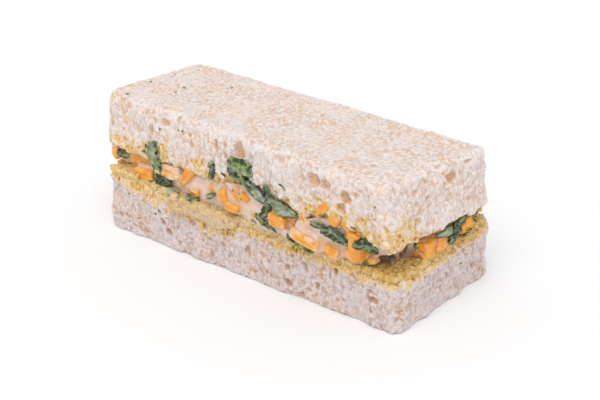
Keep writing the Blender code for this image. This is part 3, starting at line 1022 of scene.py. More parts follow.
@dataclass(frozen=True)
class PestoFinish:
    """Oily green pesto worked into crumb: grainy and yellow-green, with painted shade in its
    hollows and cracks.
    """

    crumb: str = "#F5E4C4"
    light: str = "#F2CB7E"
    body: str = "#DDB862"
    dark: str = "#BC9548"
    olive: str = "#E6BC62"
    cream: str = "#CFB79A"
    lump_size: float = 2.0
    knot_size: float = 0.55
    grain_size: float = 0.35

    def build(self) -> bpy.types.Material:
        """Make the pesto's material.

        Returns:
            A material that reads the attributes pit, cream and age.
        """
        # Pesto in crumb: oil gives each grain a small highlight, and here and there a grain is
        # pale bread. The cracks between grains and the mesh's hollows are painted darker, as
        # painted shade.
        made, tree, shader = start_material("oily_pesto")
        place = add_node(tree, "ShaderNodeTexCoord").outputs["Object"]
        pit = add_node(tree, "ShaderNodeAttribute", attribute_name="pit").outputs["Fac"]
        cream = add_node(tree, "ShaderNodeAttribute", attribute_name="cream").outputs["Fac"]
        age = add_node(tree, "ShaderNodeAttribute", attribute_name="age").outputs["Fac"]
        knot = add_node(
            tree, "ShaderNodeTexVoronoi",
            {"Vector": place, "Scale": 1.0 / (self.knot_size * MM), "Smoothness": 0.3},
            feature="SMOOTH_F1",
        )
        lump = add_node(
            tree, "ShaderNodeTexNoise",
            {"Vector": place, "Scale": 1.0 / (self.lump_size * MM), "Detail": 3.0},
        )
        grit = add_node(
            tree, "ShaderNodeTexNoise",
            {"Vector": place, "Scale": 1.0 / (self.grain_size * MM), "Detail": 2.0},
        )
        shade = add_node(
            tree, "ShaderNodeMapRange",
            {"Value": lump.outputs["Fac"], "From Min": 0.35, "From Max": 0.65},
        )
        # Painted light: the attribute read here is negative at the left end, where it paints the
        # paste paler against the top slice's shade, and positive towards the right end, where it
        # turns the paste olive.
        pale_with_painted_light = add_node(
            tree, "ShaderNodeMath", {0: shade.outputs[0], 1: age},
            operation="SUBTRACT", use_clamp=True,
        )
        base = add_node(
            tree, "ShaderNodeMix",
            {0: pale_with_painted_light.outputs[0], 6: linear(self.body), 7: linear(self.light)},
            data_type="RGBA",
        )
        deep = add_node(
            tree, "ShaderNodeMapRange",
            {"Value": pit, "From Min": 0.35, "From Max": 1.0},
            interpolation_type="SMOOTHSTEP",
        )
        olive_toned = add_node(
            tree, "ShaderNodeMix",
            {0: age, 6: base.outputs[2], 7: linear(self.olive)},
            data_type="RGBA",
        )
        chance = add_node(tree, "ShaderNodeSeparateColor", {"Color": knot.outputs["Color"]})
        bready = add_node(
            tree, "ShaderNodeMapRange",
            {"Value": chance.outputs[0], "From Min": 0.45, "From Max": 0.75, "To Max": 0.6},
            interpolation_type="SMOOTHSTEP",
        )
        crumbed = add_node(
            tree, "ShaderNodeMix",
            {0: bready.outputs[0], 6: olive_toned.outputs[2], 7: linear(self.crumb)},
            data_type="RGBA",
        )
        # Painted shade: the dark colour fills the cracks between the bumped grains and the hollows
        # that pit marks.
        crack = add_node(
            tree, "ShaderNodeMapRange",
            {"Value": knot.outputs["Distance"], "From Min": 0.35, "From Max": 0.75,
             "To Max": 0.3},
            interpolation_type="SMOOTHSTEP",
        )
        sunk = add_node(
            tree, "ShaderNodeMath", {0: deep.outputs[0], 1: crack.outputs[0]},
            operation="ADD", use_clamp=True,
        )
        pitted = add_node(
            tree, "ShaderNodeMix",
            {0: sunk.outputs[0], 6: crumbed.outputs[2], 7: linear(self.dark)},
            data_type="RGBA",
        )
        smeared = add_node(
            tree, "ShaderNodeMix",
            {0: cream, 6: pitted.outputs[2], 7: linear(self.cream)},
            data_type="RGBA",
        )
        grains = add_node(
            tree, "ShaderNodeMath",
            {0: knot.outputs["Distance"], 1: -1.4, 2: grit.outputs["Fac"]},
            operation="MULTIPLY_ADD",
        )
        rough = add_node(
            tree, "ShaderNodeMath", {0: 0.8, 1: cream}, operation="SUBTRACT", use_clamp=True
        )
        bump = add_node(
            tree, "ShaderNodeBump",
            {"Height": grains.outputs[0], "Strength": rough.outputs[0], "Distance": 0.3 * MM},
        )
        tree.links.new(smeared.outputs[2], shader.inputs["Base Color"])
        tree.links.new(bump.outputs["Normal"], shader.inputs["Normal"])
        shader.inputs["Roughness"].default_value = 0.38
        shader.inputs["Specular IOR Level"].default_value = 0.4
        shader.inputs["Subsurface Weight"].default_value = 0.3
        shader.inputs["Subsurface Radius"].default_value = (1.0, 0.7, 0.25)
        shader.inputs["Subsurface Scale"].default_value = 0.8 * MM
        return made


@dataclass(frozen=True)
class CreamFinish:
    """Mayonnaise with cheese in it: a glossy off-white, flushed orange over the shreds."""

    body: str = "#DFC3B1"
    pale: str = "#E9D8CD"
    blush: str = "#E2AC7C"
    green: str = "#B4B69E"
    painted_shade: str = "#7A5428"
    streak_size: float = 3.0

    def build(self) -> bpy.types.Material:
        """Make the cream's material.

        Returns:
            A material that reads the attributes blush, herb and gloom.
        """
        # Mayonnaise: smooth and wet, with sharp glints from its coat, milky where light sinks in,
        # and tinted by the cheese and herbs just under it. Its hollows and the low right end are
        # painted dark brown, as painted shade.
        made, tree, shader = start_material("mayonnaise")
        place = add_node(tree, "ShaderNodeTexCoord").outputs["Object"]
        near = add_node(tree, "ShaderNodeAttribute", attribute_name="blush").outputs["Fac"]
        herb = add_node(tree, "ShaderNodeAttribute", attribute_name="herb").outputs["Fac"]
        painted_shade = add_node(tree, "ShaderNodeAttribute", attribute_name="painted_shade").outputs["Fac"]
        streak = add_node(
            tree, "ShaderNodeTexNoise",
            {"Vector": place, "Scale": 1.0 / (self.streak_size * MM), "Detail": 2.0},
        )
        base = add_node(
            tree, "ShaderNodeMix",
            {0: streak.outputs["Fac"], 6: linear(self.body), 7: linear(self.pale)},
            data_type="RGBA",
        )
        flushed = add_node(
            tree, "ShaderNodeMix",
            {0: near, 6: base.outputs[2], 7: linear(self.blush)},
            data_type="RGBA",
        )
        tinted = add_node(
            tree, "ShaderNodeMix",
            {0: herb, 6: flushed.outputs[2], 7: linear(self.green)},
            data_type="RGBA",
        )
        hollowed = add_node(
            tree, "ShaderNodeMix",
            {0: painted_shade, 6: tinted.outputs[2], 7: linear(self.painted_shade)},
            data_type="RGBA",
        )
        tree.links.new(hollowed.outputs[2], shader.inputs["Base Color"])
        shader.inputs["Roughness"].default_value = 0.24
        shader.inputs["Specular IOR Level"].default_value = 0.5
        shader.inputs["Subsurface Weight"].default_value = 0.6
        shader.inputs["Subsurface Radius"].default_value = (1.0, 0.6, 0.4)
        shader.inputs["Subsurface Scale"].default_value = 1.2 * MM
        shader.inputs["Coat Weight"].default_value = 0.45
        shader.inputs["Coat Roughness"].default_value = 0.12
        return made


@dataclass(frozen=True)
class CheeseFinish:
    """Grated red leicester: waxy bright orange, partly hidden by a thin coat of cream."""

    bright: str = "#F9B24C"
    deep: str = "#EA942E"
    coat: str = "#EBCDB0"
    mottle_size: float = 2.2
    grain_size: float = 0.35

    def build(self) -> bpy.types.Material:
        """Make the cheese's material.

        Returns:
            A material that reads the attribute coat.
        """
        # Red leicester: waxy, with soft highlights, two oranges that drift into each other and
        # a fine rough grain from the grater. Cream over it makes it paler.
        made, tree, shader = start_material("red_leicester_cheese")
        place = add_node(tree, "ShaderNodeTexCoord").outputs["Object"]
        coat = add_node(tree, "ShaderNodeAttribute", attribute_name="coat").outputs["Fac"]
        mottle = add_node(
            tree, "ShaderNodeTexNoise",
            {"Vector": place, "Scale": 1.0 / (self.mottle_size * MM), "Detail": 3.0},
        )
        grit = add_node(
            tree, "ShaderNodeTexNoise",
            {"Vector": place, "Scale": 1.0 / (self.grain_size * MM), "Detail": 2.0},
        )
        shade = add_node(
            tree, "ShaderNodeMapRange",
            {"Value": mottle.outputs["Fac"], "From Min": 0.35, "From Max": 0.65},
        )
        base = add_node(
            tree, "ShaderNodeMix",
            {0: shade.outputs[0], 6: linear(self.deep), 7: linear(self.bright)},
            data_type="RGBA",
        )
        coated = add_node(
            tree, "ShaderNodeMix",
            {0: coat, 6: base.outputs[2], 7: linear(self.coat)},
            data_type="RGBA",
        )
        bump = add_node(
            tree, "ShaderNodeBump",
            {"Height": grit.outputs["Fac"], "Strength": 0.45, "Distance": 0.14 * MM},
        )
        tree.links.new(coated.outputs[2], shader.inputs["Base Color"])
        tree.links.new(bump.outputs["Normal"], shader.inputs["Normal"])
        shader.inputs["Roughness"].default_value = 0.3
        shader.inputs["Specular IOR Level"].default_value = 0.45
        shader.inputs["Subsurface Weight"].default_value = 0.4
        shader.inputs["Subsurface Radius"].default_value = (1.0, 0.6, 0.3)
        shader.inputs["Subsurface Scale"].default_value = 0.8 * MM
        return made


@dataclass(frozen=True)
class LeafFinish:
    """Torn wet leaf: dark green with paler veins, in places under a milky coat."""

    green: str = "#8FA347"
    dark: str = "#26371F"
    vein_and_painted_highlight: str = "#A9B786"
    milk: str = "#C0C3B1"
    patch_size: float = 2.4
    milk_size: float = 1.6

    def build(self) -> bpy.types.Material:
        """Make the leaf's material.

        Returns:
            A material that reads the attributes glow, vein and milk.
        """
        # Wet leaf: shiny, with pale veins, and grey-green where a film of cream clings. It is
        # painted nearly black in its folds and bright green on its ridges, as painted shade and
        # painted light, and its fold crests get the pale vein colour as a painted highlight.
        made, tree, shader = start_material("wet_leaf")
        place = add_node(tree, "ShaderNodeTexCoord").outputs["Object"]
        vein_and_painted_highlight = add_node(tree, "ShaderNodeAttribute", attribute_name="vein_and_painted_highlight").outputs["Fac"]
        milk = add_node(tree, "ShaderNodeAttribute", attribute_name="milk").outputs["Fac"]
        patch = add_node(
            tree, "ShaderNodeTexNoise",
            {"Vector": place, "Scale": 1.0 / (self.patch_size * MM), "Detail": 3.0},
        )
        film = add_node(
            tree, "ShaderNodeTexNoise",
            {"Vector": place, "Scale": 1.0 / (self.milk_size * MM), "Detail": 3.0},
        )
        painted_light_and_tone = add_node(tree, "ShaderNodeAttribute", attribute_name="painted_light_and_tone").outputs["Fac"]
        sway = add_node(
            tree, "ShaderNodeMapRange",
            {"Value": patch.outputs["Fac"], "From Min": 0.3, "From Max": 0.7,
             "To Min": -0.25, "To Max": 0.25},
        )
        shade = add_node(
            tree, "ShaderNodeMath", {0: painted_light_and_tone, 1: sway.outputs[0]},
            operation="ADD", use_clamp=True,
        )
        base = add_node(
            tree, "ShaderNodeMix",
            {0: shade.outputs[0], 6: linear(self.dark), 7: linear(self.green)},
            data_type="RGBA",
        )
        veined = add_node(
            tree, "ShaderNodeMix",
            {0: vein_and_painted_highlight, 6: base.outputs[2], 7: linear(self.vein_and_painted_highlight)},
            data_type="RGBA",
        )
        drift = add_node(
            tree, "ShaderNodeMapRange",
            {"Value": film.outputs["Fac"], "From Min": 0.3, "From Max": 0.7,
             "To Min": -0.5, "To Max": 0.5},
        )
        cover = add_node(
            tree, "ShaderNodeMath", {0: milk, 1: drift.outputs[0]},
            operation="ADD", use_clamp=True,
        )
        milky = add_node(
            tree, "ShaderNodeMix",
            {0: cover.outputs[0], 6: veined.outputs[2], 7: linear(self.milk)},
            data_type="RGBA",
        )
        tree.links.new(milky.outputs[2], shader.inputs["Base Color"])
        shader.inputs["Roughness"].default_value = 0.27
        shader.inputs["Specular IOR Level"].default_value = 0.55
        shader.inputs["Subsurface Weight"].default_value = 0.1
        shader.inputs["Subsurface Radius"].default_value = (0.4, 1.0, 0.2)
        shader.inputs["Subsurface Scale"].default_value = 0.5 * MM
        return made


@dataclass
class PestoLayer:
    """A spread layer of pesto, soaked into the bread that it lies on.

    facing is 1 where the bread lies above the layer and -1 where it lies below. crumbs is how
    many soaked crumbs there are along its edge. voxel is the width of a face and swell how far
    the layer is pushed out, in millimetres.
    """

    node: str
    name: str
    seed: int
    facing: float
    crumbs: int = 520
    voxel: float = 0.27
    swell: float = 0.22

    def rim(self, draw: np.random.Generator) -> list[Ball]:
        """Soaked crumbs along the layer's edge.

        Args:
            draw: the seeded source of chance.

        Returns:
            The crumbs.
        """
        skin = even_skin(merged_copy(self.node), 0.6)
        rows = draw.choice(np.flatnonzero(np.abs(skin.normals[:, 2]) < 0.9), self.crumbs)
        sizes = 0.3 + 0.6 * draw.random(self.crumbs) ** 1.5
        places = skin.points[rows] + draw.uniform(-0.4, 0.4, (self.crumbs, 3))
        return [Ball(tuple(place), size) for place, size in zip(places.tolist(), sizes)]

    def build(self, finish: bpy.types.Material) -> bpy.types.Object:
        """Roughen a copy of the CAD layer.

        Args:
            finish: a material that reads the attributes pit, stain, cream and age.

        Returns:
            The finished layer.
        """
        draw = np.random.default_rng(self.seed)
        skin = even_skin(merged_copy(self.node), self.voxel, self.rim(draw))
        skin.relax(3, 0.7)
        meets = ease(skin.normals[:, 2] * self.facing, 0.3, 0.8)
        skin.push(np.full(skin.count, self.swell))
        skin.points[:, 2] += 0.5 * self.facing * meets
        wet = ease(-skin.points[:, 1], 16.4, 17.4) * ease(-skin.points[:, 2], -15.0, -14.0)
        wet *= band(skin.points[:, 0], -20.5, -16.5, -4.0, -1.5)
        warp = unevenness(skin.points)
        height, web = crumb_relief(skin.points, warp, self.seed)
        lumps = 0.4 * grain(skin.points, 2.2, self.seed, 2) + 0.85 * height
        folds = 0.5 * ridged(skin.points, (4.5, 4.5, 2.2), self.seed + 3.0) - 0.2
        skin.push((1.0 - wet) * lumps + wet * folds)
        skin.refresh()
        along = skin.points[:, 0]
        # Painted light: the left end is painted paler and less pitted, against the shade that the
        # top slice casts there.
        pale_with_painted_light = ease(-along, 36.0, 44.0)
        # pit marks the lace hollows and the low places of the surface, where the pesto finish
        # paints shade.
        pit = 0.1 + 0.6 * web + 0.35 * skin.hollows(8) / 0.3
        pit *= (1.0 - 0.6 * wet) * (1.0 - 0.45 * pale_with_painted_light)
        skin.keep("pit", np.clip(pit, 0.0, 1.0))
        skin.keep("stain", np.ones(skin.count))
        plain = band(along, -36.0, -28.0, 18.0, 40.0)
        milky = band(along, 4.0, 10.0, 20.0, 28.0)
        smear = 0.45 * np.maximum(plain, milky * ease(grain(skin.points, 3.0, 12.0), -0.3, 0.3))
        skin.keep("cream", np.maximum(0.85 * wet, smear))
        skin.keep("age", 0.6 * ease(along, 26.0, 44.0) - 0.8 * pale_with_painted_light)
        return settle(skin.thinned().finish(self.name, finish), Slot.PESTO, self.node)


@dataclass(frozen=True)
class Shred:
    """A shred of cheese on a side of the filling, seen square on, in millimetres.

    tilt is its rise along the side and lean its turn into the sandwich, in degrees. coat is
    how much cream covers it, from 0 to 1. out is how far out the cream behind it lies, where
    that isn't looked up.
    """

    side: Side
    place: float
    height: float
    length: float
    width: float
    tilt: float
    proud: float = 0.5
    depth: float = 2.6
    coat: float = 0.3
    lean: float = 0.0
    out: float | None = None


FRONT_SHREDS = (
    Shred(Side.FRONT, -49.0, 20.4, 4.4, 4.2, -8, 0.8, 5.0, 0.0, 20, 14.0),
    Shred(Side.FRONT, -39.4, 20.4, 8.6, 4.0, 7, 0.5, 3.0, 0.45),
    Shred(Side.FRONT, -42.5, 18.5, 3.2, 2.4, -56, 0.3, 2.4, 0.3),
    Shred(Side.FRONT, -36.3, 17.5, 7.1, 3.1, 5, 0.7, 2.8, 0.05),
    Shred(Side.FRONT, -26.4, 21.3, 8.2, 4.2, -3, 1.5, 3.2, 0.85),
    Shred(Side.FRONT, -19.2, 22.0, 7.8, 3.0, 52, 1.1, 3.0, 0.12),
    Shred(Side.FRONT, -16.3, 18.1, 4.0, 1.8, 7, 0.5, 2.2, 0.45),
    Shred(Side.FRONT, -10.0, 21.1, 2.6, 1.6, 86, 0.5, 2.0, 0.35),
    Shred(Side.FRONT, -2.9, 25.0, 5.6, 2.4, -3, 1.0, 2.8, 0.1),
    Shred(Side.FRONT, -5.0, 20.6, 3.6, 2.6, -67, 1.0, 2.8, 0.05),
    Shred(Side.FRONT, -1.9, 18.9, 4.4, 2.3, -12, 1.0, 2.8, 0.1),
    Shred(Side.FRONT, -0.3, 22.3, 4.5, 1.8, -89, 0.6, 2.4, 0.3),
    Shred(Side.FRONT, 2.9, 22.8, 3.2, 1.7, -38, 0.6, 2.2, 0.1),
    Shred(Side.FRONT, 5.2, 18.4, 2.0, 1.4, -1, 0.2, 1.6, 0.4),
    Shred(Side.FRONT, 14.4, 20.5, 5.2, 3.5, 3, 0.9, 3.0, 0.05, 8),
    Shred(Side.FRONT, 17.8, 21.0, 2.2, 2.2, -43, 0.3, 2.0, 0.6),
    Shred(Side.FRONT, 22.7, 18.3, 8.4, 3.0, -15, 0.6, 2.8, 0.5),
    Shred(Side.FRONT, 21.7, 22.6, 4.6, 2.0, -59, 0.5, 2.4, 0.45),
    Shred(Side.FRONT, 25.2, 24.1, 3.6, 1.4, 29, 0.2, 2.0, 0.2),
    Shred(Side.FRONT, 28.2, 27.4, 4.6, 2.1, 52, 0.5, 2.4, 0.05),
    Shred(Side.FRONT, 30.8, 25.4, 3.1, 2.6, -34, 0.4, 2.4, 0.2),
    Shred(Side.FRONT, 34.5, 24.9, 3.9, 2.3, -26, 0.5, 2.4, 0.2),
    Shred(Side.FRONT, 36.4, 22.8, 3.6, 1.8, -8, 0.7, 2.4, 0.05),
    Shred(Side.FRONT, 37.0, 19.4, 5.9, 3.3, -89, 0.9, 3.0, 0.05, -8),
    Shred(Side.FRONT, 38.2, 18.2, 2.2, 2.2, -35, 0.7, 2.4, 0.1),
    Shred(Side.FRONT, 29.7, 16.9, 4.3, 2.7, -2, 0.5, 2.6, 0.2),
    Shred(Side.FRONT, 35.1, 17.5, 3.8, 1.9, -23, 0.4, 2.4, 0.6),
    Shred(Side.FRONT, 39.6, 16.5, 3.0, 1.8, 21, 0.6, 2.4, 0.5),
    Shred(Side.FRONT, 43.4, 19.6, 2.4, 2.0, -8, 0.4, 2.0, 0.6),
    Shred(Side.RIGHT, -11.0, 20.0, 4.0, 2.2, 10, 0.4, 2.4, 0.7),
    Shred(Side.RIGHT, -4.7, 17.3, 4.6, 4.6, 5, 0.9, 4.4, 0.05, 0, 47.2),
    Shred(Side.RIGHT, -0.4, 17.6, 5.2, 5.0, -6, 0.9, 4.6, 0.0, 0, 47.9),
    Shred(Side.RIGHT, 7.9, 18.7, 4.6, 2.9, 20, 0.8, 2.8, 0.05),
    Shred(Side.RIGHT, 6.5, 15.7, 2.2, 1.7, 0, 0.4, 2.0, 0.75),
)


@dataclass
class Cream:
    """The mayonnaise that binds the filling, lumpy over the cheese that is sunk in it.

    It is drawn in by shrink all round, and pushed up and down towards the slices by reach, in
    millimetres.
    """

    node: str = "filling"
    name: str = "mayonnaise"
    voxel: float = 0.3
    shrink: float = 0.2
    reach: float = 1.0
    hollows: tuple[Dent, ...] = (
        Dent(Side.FRONT, 41.0, 15.6, 2.8, 1.8, 2.8),
        Dent(Side.RIGHT, -13.2, 15.6, 2.6, 1.8, 2.8),
        Dent(Side.RIGHT, -8.8, 16.6, 1.2, 2.2, 2.0),
        Dent(Side.FRONT, 21.8, 24.6, 2.4, 0.9, 2.0),
        Dent(Side.FRONT, -29.4, 17.4, 2.8, 1.1, 1.6),
    )

    def shape(self) -> tuple[Skin, Values]:
        """Soften a copy of the CAD filling and press its hollows in.

        Returns:
            The cream's skin, and how deep each point lies in a hollow, in millimetres.
        """
        skin = even_skin(merged_copy(self.node), self.voxel)
        skin.relax(12, 0.75)
        waves = 0.3 * grain(skin.points, 3.2, 5.0, 2)
        skin.push(waves - self.shrink)
        skin.points[:, 2] += self.reach * skin.normals[:, 2]
        tree = cad_tree(self.node)
        depth = skin.carve([dent.pore(tree) for dent in self.hollows], np.zeros((1, 3)))
        depth = skin.smoothed(depth, 4, 0.8)
        skin.push(-depth)
        skin.relax(2, 0.6)
        return skin, depth

    def build(
        self, skin: Skin, depth: Values, cheese: BVHTree, finish: bpy.types.Material
    ) -> bpy.types.Object:
        """Dress the cream.

        Args:
            skin: the shaped cream.
            depth: how deep each of its points lies in a hollow, in millimetres.
            cheese: search tree over the shreds, in metres.
            finish: the cream's material.

        Returns:
            The finished cream.
        """
        spots = (skin.points * MM).tolist()
        far = np.array([cheese.find_nearest(spot)[3] for spot in spots]) / MM
        wisps = ease(grain(skin.points, 2.4, 19.0, 2), 0.05, 0.6)
        skin.keep("blush", np.maximum(0.65 * (1.0 - ease(far, 0.1, 1.6)), 0.4 * wisps))
        herb = ease(grain(skin.points, 2.0, 31.0, 2), 0.35, 0.7)
        skin.keep("herb", 0.28 * herb)
        # Painted shade: dark brown in the carved hollows and near the low right end of the
        # filling.
        shaded_corner = ease(skin.points[:, 0], 37.0, 41.0) * ease(-skin.points[:, 2], -18.4, -16.4)
        skin.keep("painted_shade", np.maximum(0.95 * ease(depth, 0.2, 0.9), 0.45 * shaded_corner))
        return settle(skin.finish(self.name, finish), Slot.FILLING, self.node)


# The sides that the photograph doesn't show: where shreds start and end, and their step.
HIDDEN_RUNS = ((Side.BACK, -40.0, 40.0, 6.6), (Side.LEFT, -9.0, 15.0, 6.0))


@dataclass
class CheeseShreds:
    """All shreds of cheese that show, as one piece.

    step is the width of a face and edge the rounding of a shred's corners, in millimetres. A
    shred sinks in by the share bulge of what it stands proud. On the hidden sides each shred
    seeks the most outward spot around its place, from the height lowest up, in steps of
    search_step.
    """

    shreds: tuple[Shred, ...] = FRONT_SHREDS
    hidden: tuple[tuple[Side, float, float, float], ...] = HIDDEN_RUNS
    name: str = "cheese_shreds"
    step: float = 0.25
    edge: float = 0.6
    bulge: float = 0.1
    lowest: float = 15.5
    search_step: float = 0.4
    seed: int = 8

    def shred_mesh(self, shred: Shred, surface: float, draw: random.Random) -> bmesh.types.BMesh:
        """Shape one shred and put it in place.

        Args:
            shred: its size and place.
            surface: how far out the cream lies behind it, in millimetres.
            draw: the seeded source of chance.

        Returns:
            The shred's mesh in metres, with how much cream is on it in the layer coat.
        """
        size = Vector((shred.length, shred.width, shred.depth))
        bm = bmesh.new()
        bmesh.ops.create_cube(bm, size=1.0)
        for axis in range(3):
            edges = [e for e in bm.edges if abs(e.verts[0].co[axis] - e.verts[1].co[axis]) > 0.9]
            cuts = max(3, int(size[axis] / self.step))
            bmesh.ops.subdivide_edges(bm, edges=edges, cuts=cuts, use_grid_fill=True)
        coat = bm.verts.layers.float.new("coat")
        shift = Vector((draw.uniform(0, 50), draw.uniform(0, 50), draw.uniform(0, 50)))
        bend = draw.uniform(-0.06, 0.06) * shred.length
        bow = draw.uniform(-0.03, 0.03) * shred.length
        half = size / 2.0
        inner = Vector((half[axis] - min(self.edge, 0.45 * half[axis]) for axis in range(3)))
        tilt, lean = math.radians(shred.tilt), math.radians(shred.lean + draw.uniform(-7, 7))
        middle = surface + shred.proud - half.z
        for vert in bm.verts:
            spot = Vector((vert.co[axis] * size[axis] for axis in range(3)))
            core = Vector((min(max(spot[a], -inner[a]), inner[a]) for a in range(3)))
            spot = core + (spot - core).normalized() * min(self.edge, 0.45 * min(half))
            share = spot.x / half.x
            rim = max(abs(share), abs(spot.y / half.y))
            spot.y = spot.y * (1.0 - 0.16 * share * share) + bend * (1.0 - share * share)
            spot.z = spot.z * (1.0 - 0.14 * share * share) + bow * (1.0 - share * share)
            rough = 0.24 * noise.noise(spot / 2.0 + shift) + 0.11 * noise.noise(spot / 0.7 + shift)
            groove = 0.11 * math.sin(spot.y * 4.4 + 2.0 * noise.noise(spot / 3.0 + shift))
            spot.z += rough + groove
            spot.y += 0.9 * rough
            spot.x += 0.35 * noise.noise(Vector((spot.y, spot.z, share)) / 0.9 + shift)
            cover = shred.coat * 1.5 + 1.1 * (rim - 0.7) + 0.8 * noise.noise(spot / 1.5 - shift)
            vert[coat] = min(1.0, max(0.0, cover - 0.35))
            along = spot.x * math.cos(lean)
            out = middle + spot.z + spot.x * math.sin(lean)
            place, height = turned(shred.place, shred.height, along, spot.y, tilt)
            vert.co = shred.side.spot(place, height, out) * MM
        return bm

    def behind(self, ground: list[BVHTree], shred: Shred) -> float:
        """How far out the food lies behind a shred, or under it where it stands higher.

        Args:
            ground: search trees over the cream and the bread, in metres.
            shred: the shred.

        Returns:
            The distance out from the middle, in millimetres.

        Raises:
            ValueError: if nothing lies there.
        """
        if shred.out is not None:
            return shred.out
        for step in range(12):
            out = cast(ground, shred.side, shred.place, shred.height - 0.5 * step)
            if out is not None:
                return out - self.bulge * shred.proud
        raise ValueError(f"nothing behind the shred at {shred.place}")

    def scattered(self, cream: BVHTree, draw: random.Random) -> list[Shred]:
        """Shreds for the hidden sides, each on the lump of filling that is nearest.

        Args:
            cream: search tree over the cream, in metres.
            draw: the seeded source of chance.

        Returns:
            The shreds.
        """
        found = []
        for side, first, last, step in self.hidden:
            for number in range(int((last - first) / step) + 1):
                middle = first + number * step
                around = [
                    (middle + self.search_step * across, self.lowest + self.search_step * up)
                    for across in range(-6, 7)
                    for up in range(14)
                ]
                out, place, height = max(
                    (cast([cream], side, *spot) or 0.0, *spot) for spot in around
                )
                found.append(
                    Shred(
                        side, place, height, draw.uniform(3.8, 6.4), draw.uniform(1.9, 2.9),
                        draw.uniform(-38, 38), 0.5, 2.8, draw.uniform(0.0, 0.6), 0.0, out,
                    )
                )
        return found

    def build(
        self, cream: BVHTree, slices: list[BVHTree], finish: bpy.types.Material
    ) -> bpy.types.Object:
        """Lay every shred on the cream or on the bread's torn edge.

        Args:
            cream: search tree over the cream, in metres.
            slices: search trees over the slices, in metres.
            finish: the cheese's material.

        Returns:
            The finished shreds.
        """
        draw = random.Random(self.seed)
        whole = bmesh.new()
        whole.verts.layers.float.new("coat")
        for shred in (*self.shreds, *self.scattered(cream, draw)):
            piece = self.shred_mesh(shred, self.behind([cream, *slices], shred), draw)
            mesh = written(piece, "shred")
            whole.from_mesh(mesh)
            bpy.data.meshes.remove(mesh)
        bmesh.ops.recalc_face_normals(whole, faces=whole.faces)
        skin = Skin(written(whole, self.name))
        return settle(skin.finish(self.name, finish), Slot.FILLING, "filling")


@dataclass(frozen=True)
class LeafHabit:
    """How a piece of leaf lies: lengths in millimetres, shares from 0 to 1.

    crinkle is the height of its folds, fold their width and stretch how much longer they run along
    the piece. frill is how torn its edge is, glow how bright its ridges are painted, partly the
    piece's own tone and partly painted light and shade, and milk how much cream is on it.
    """

    crinkle: float
    fold: float
    stretch: float
    frill: float
    painted_light_and_tone: float
    milk: float


class Habit(Enum):
    """The kinds of leaf pieces in the filling."""

    CURLY = LeafHabit(1.2, 2.4, 1.2, 0.24, 0.42, 0.08)
    PART_COATED = LeafHabit(0.9, 2.0, 2.0, 0.2, 0.22, 0.5)
    STEM = LeafHabit(0.6, 1.3, 4.5, 0.16, -0.05, 0.5)
    COATED = LeafHabit(0.5, 1.8, 2.2, 0.16, 0.05, 0.8)
    DARK = LeafHabit(0.65, 1.7, 1.8, 0.24, 0.05, 0.15)
    # A piece that lies in shade: painted darker, as painted shade.
    SHADED = LeafHabit(0.4, 1.5, 1.8, 0.2, -0.35, 0.0)


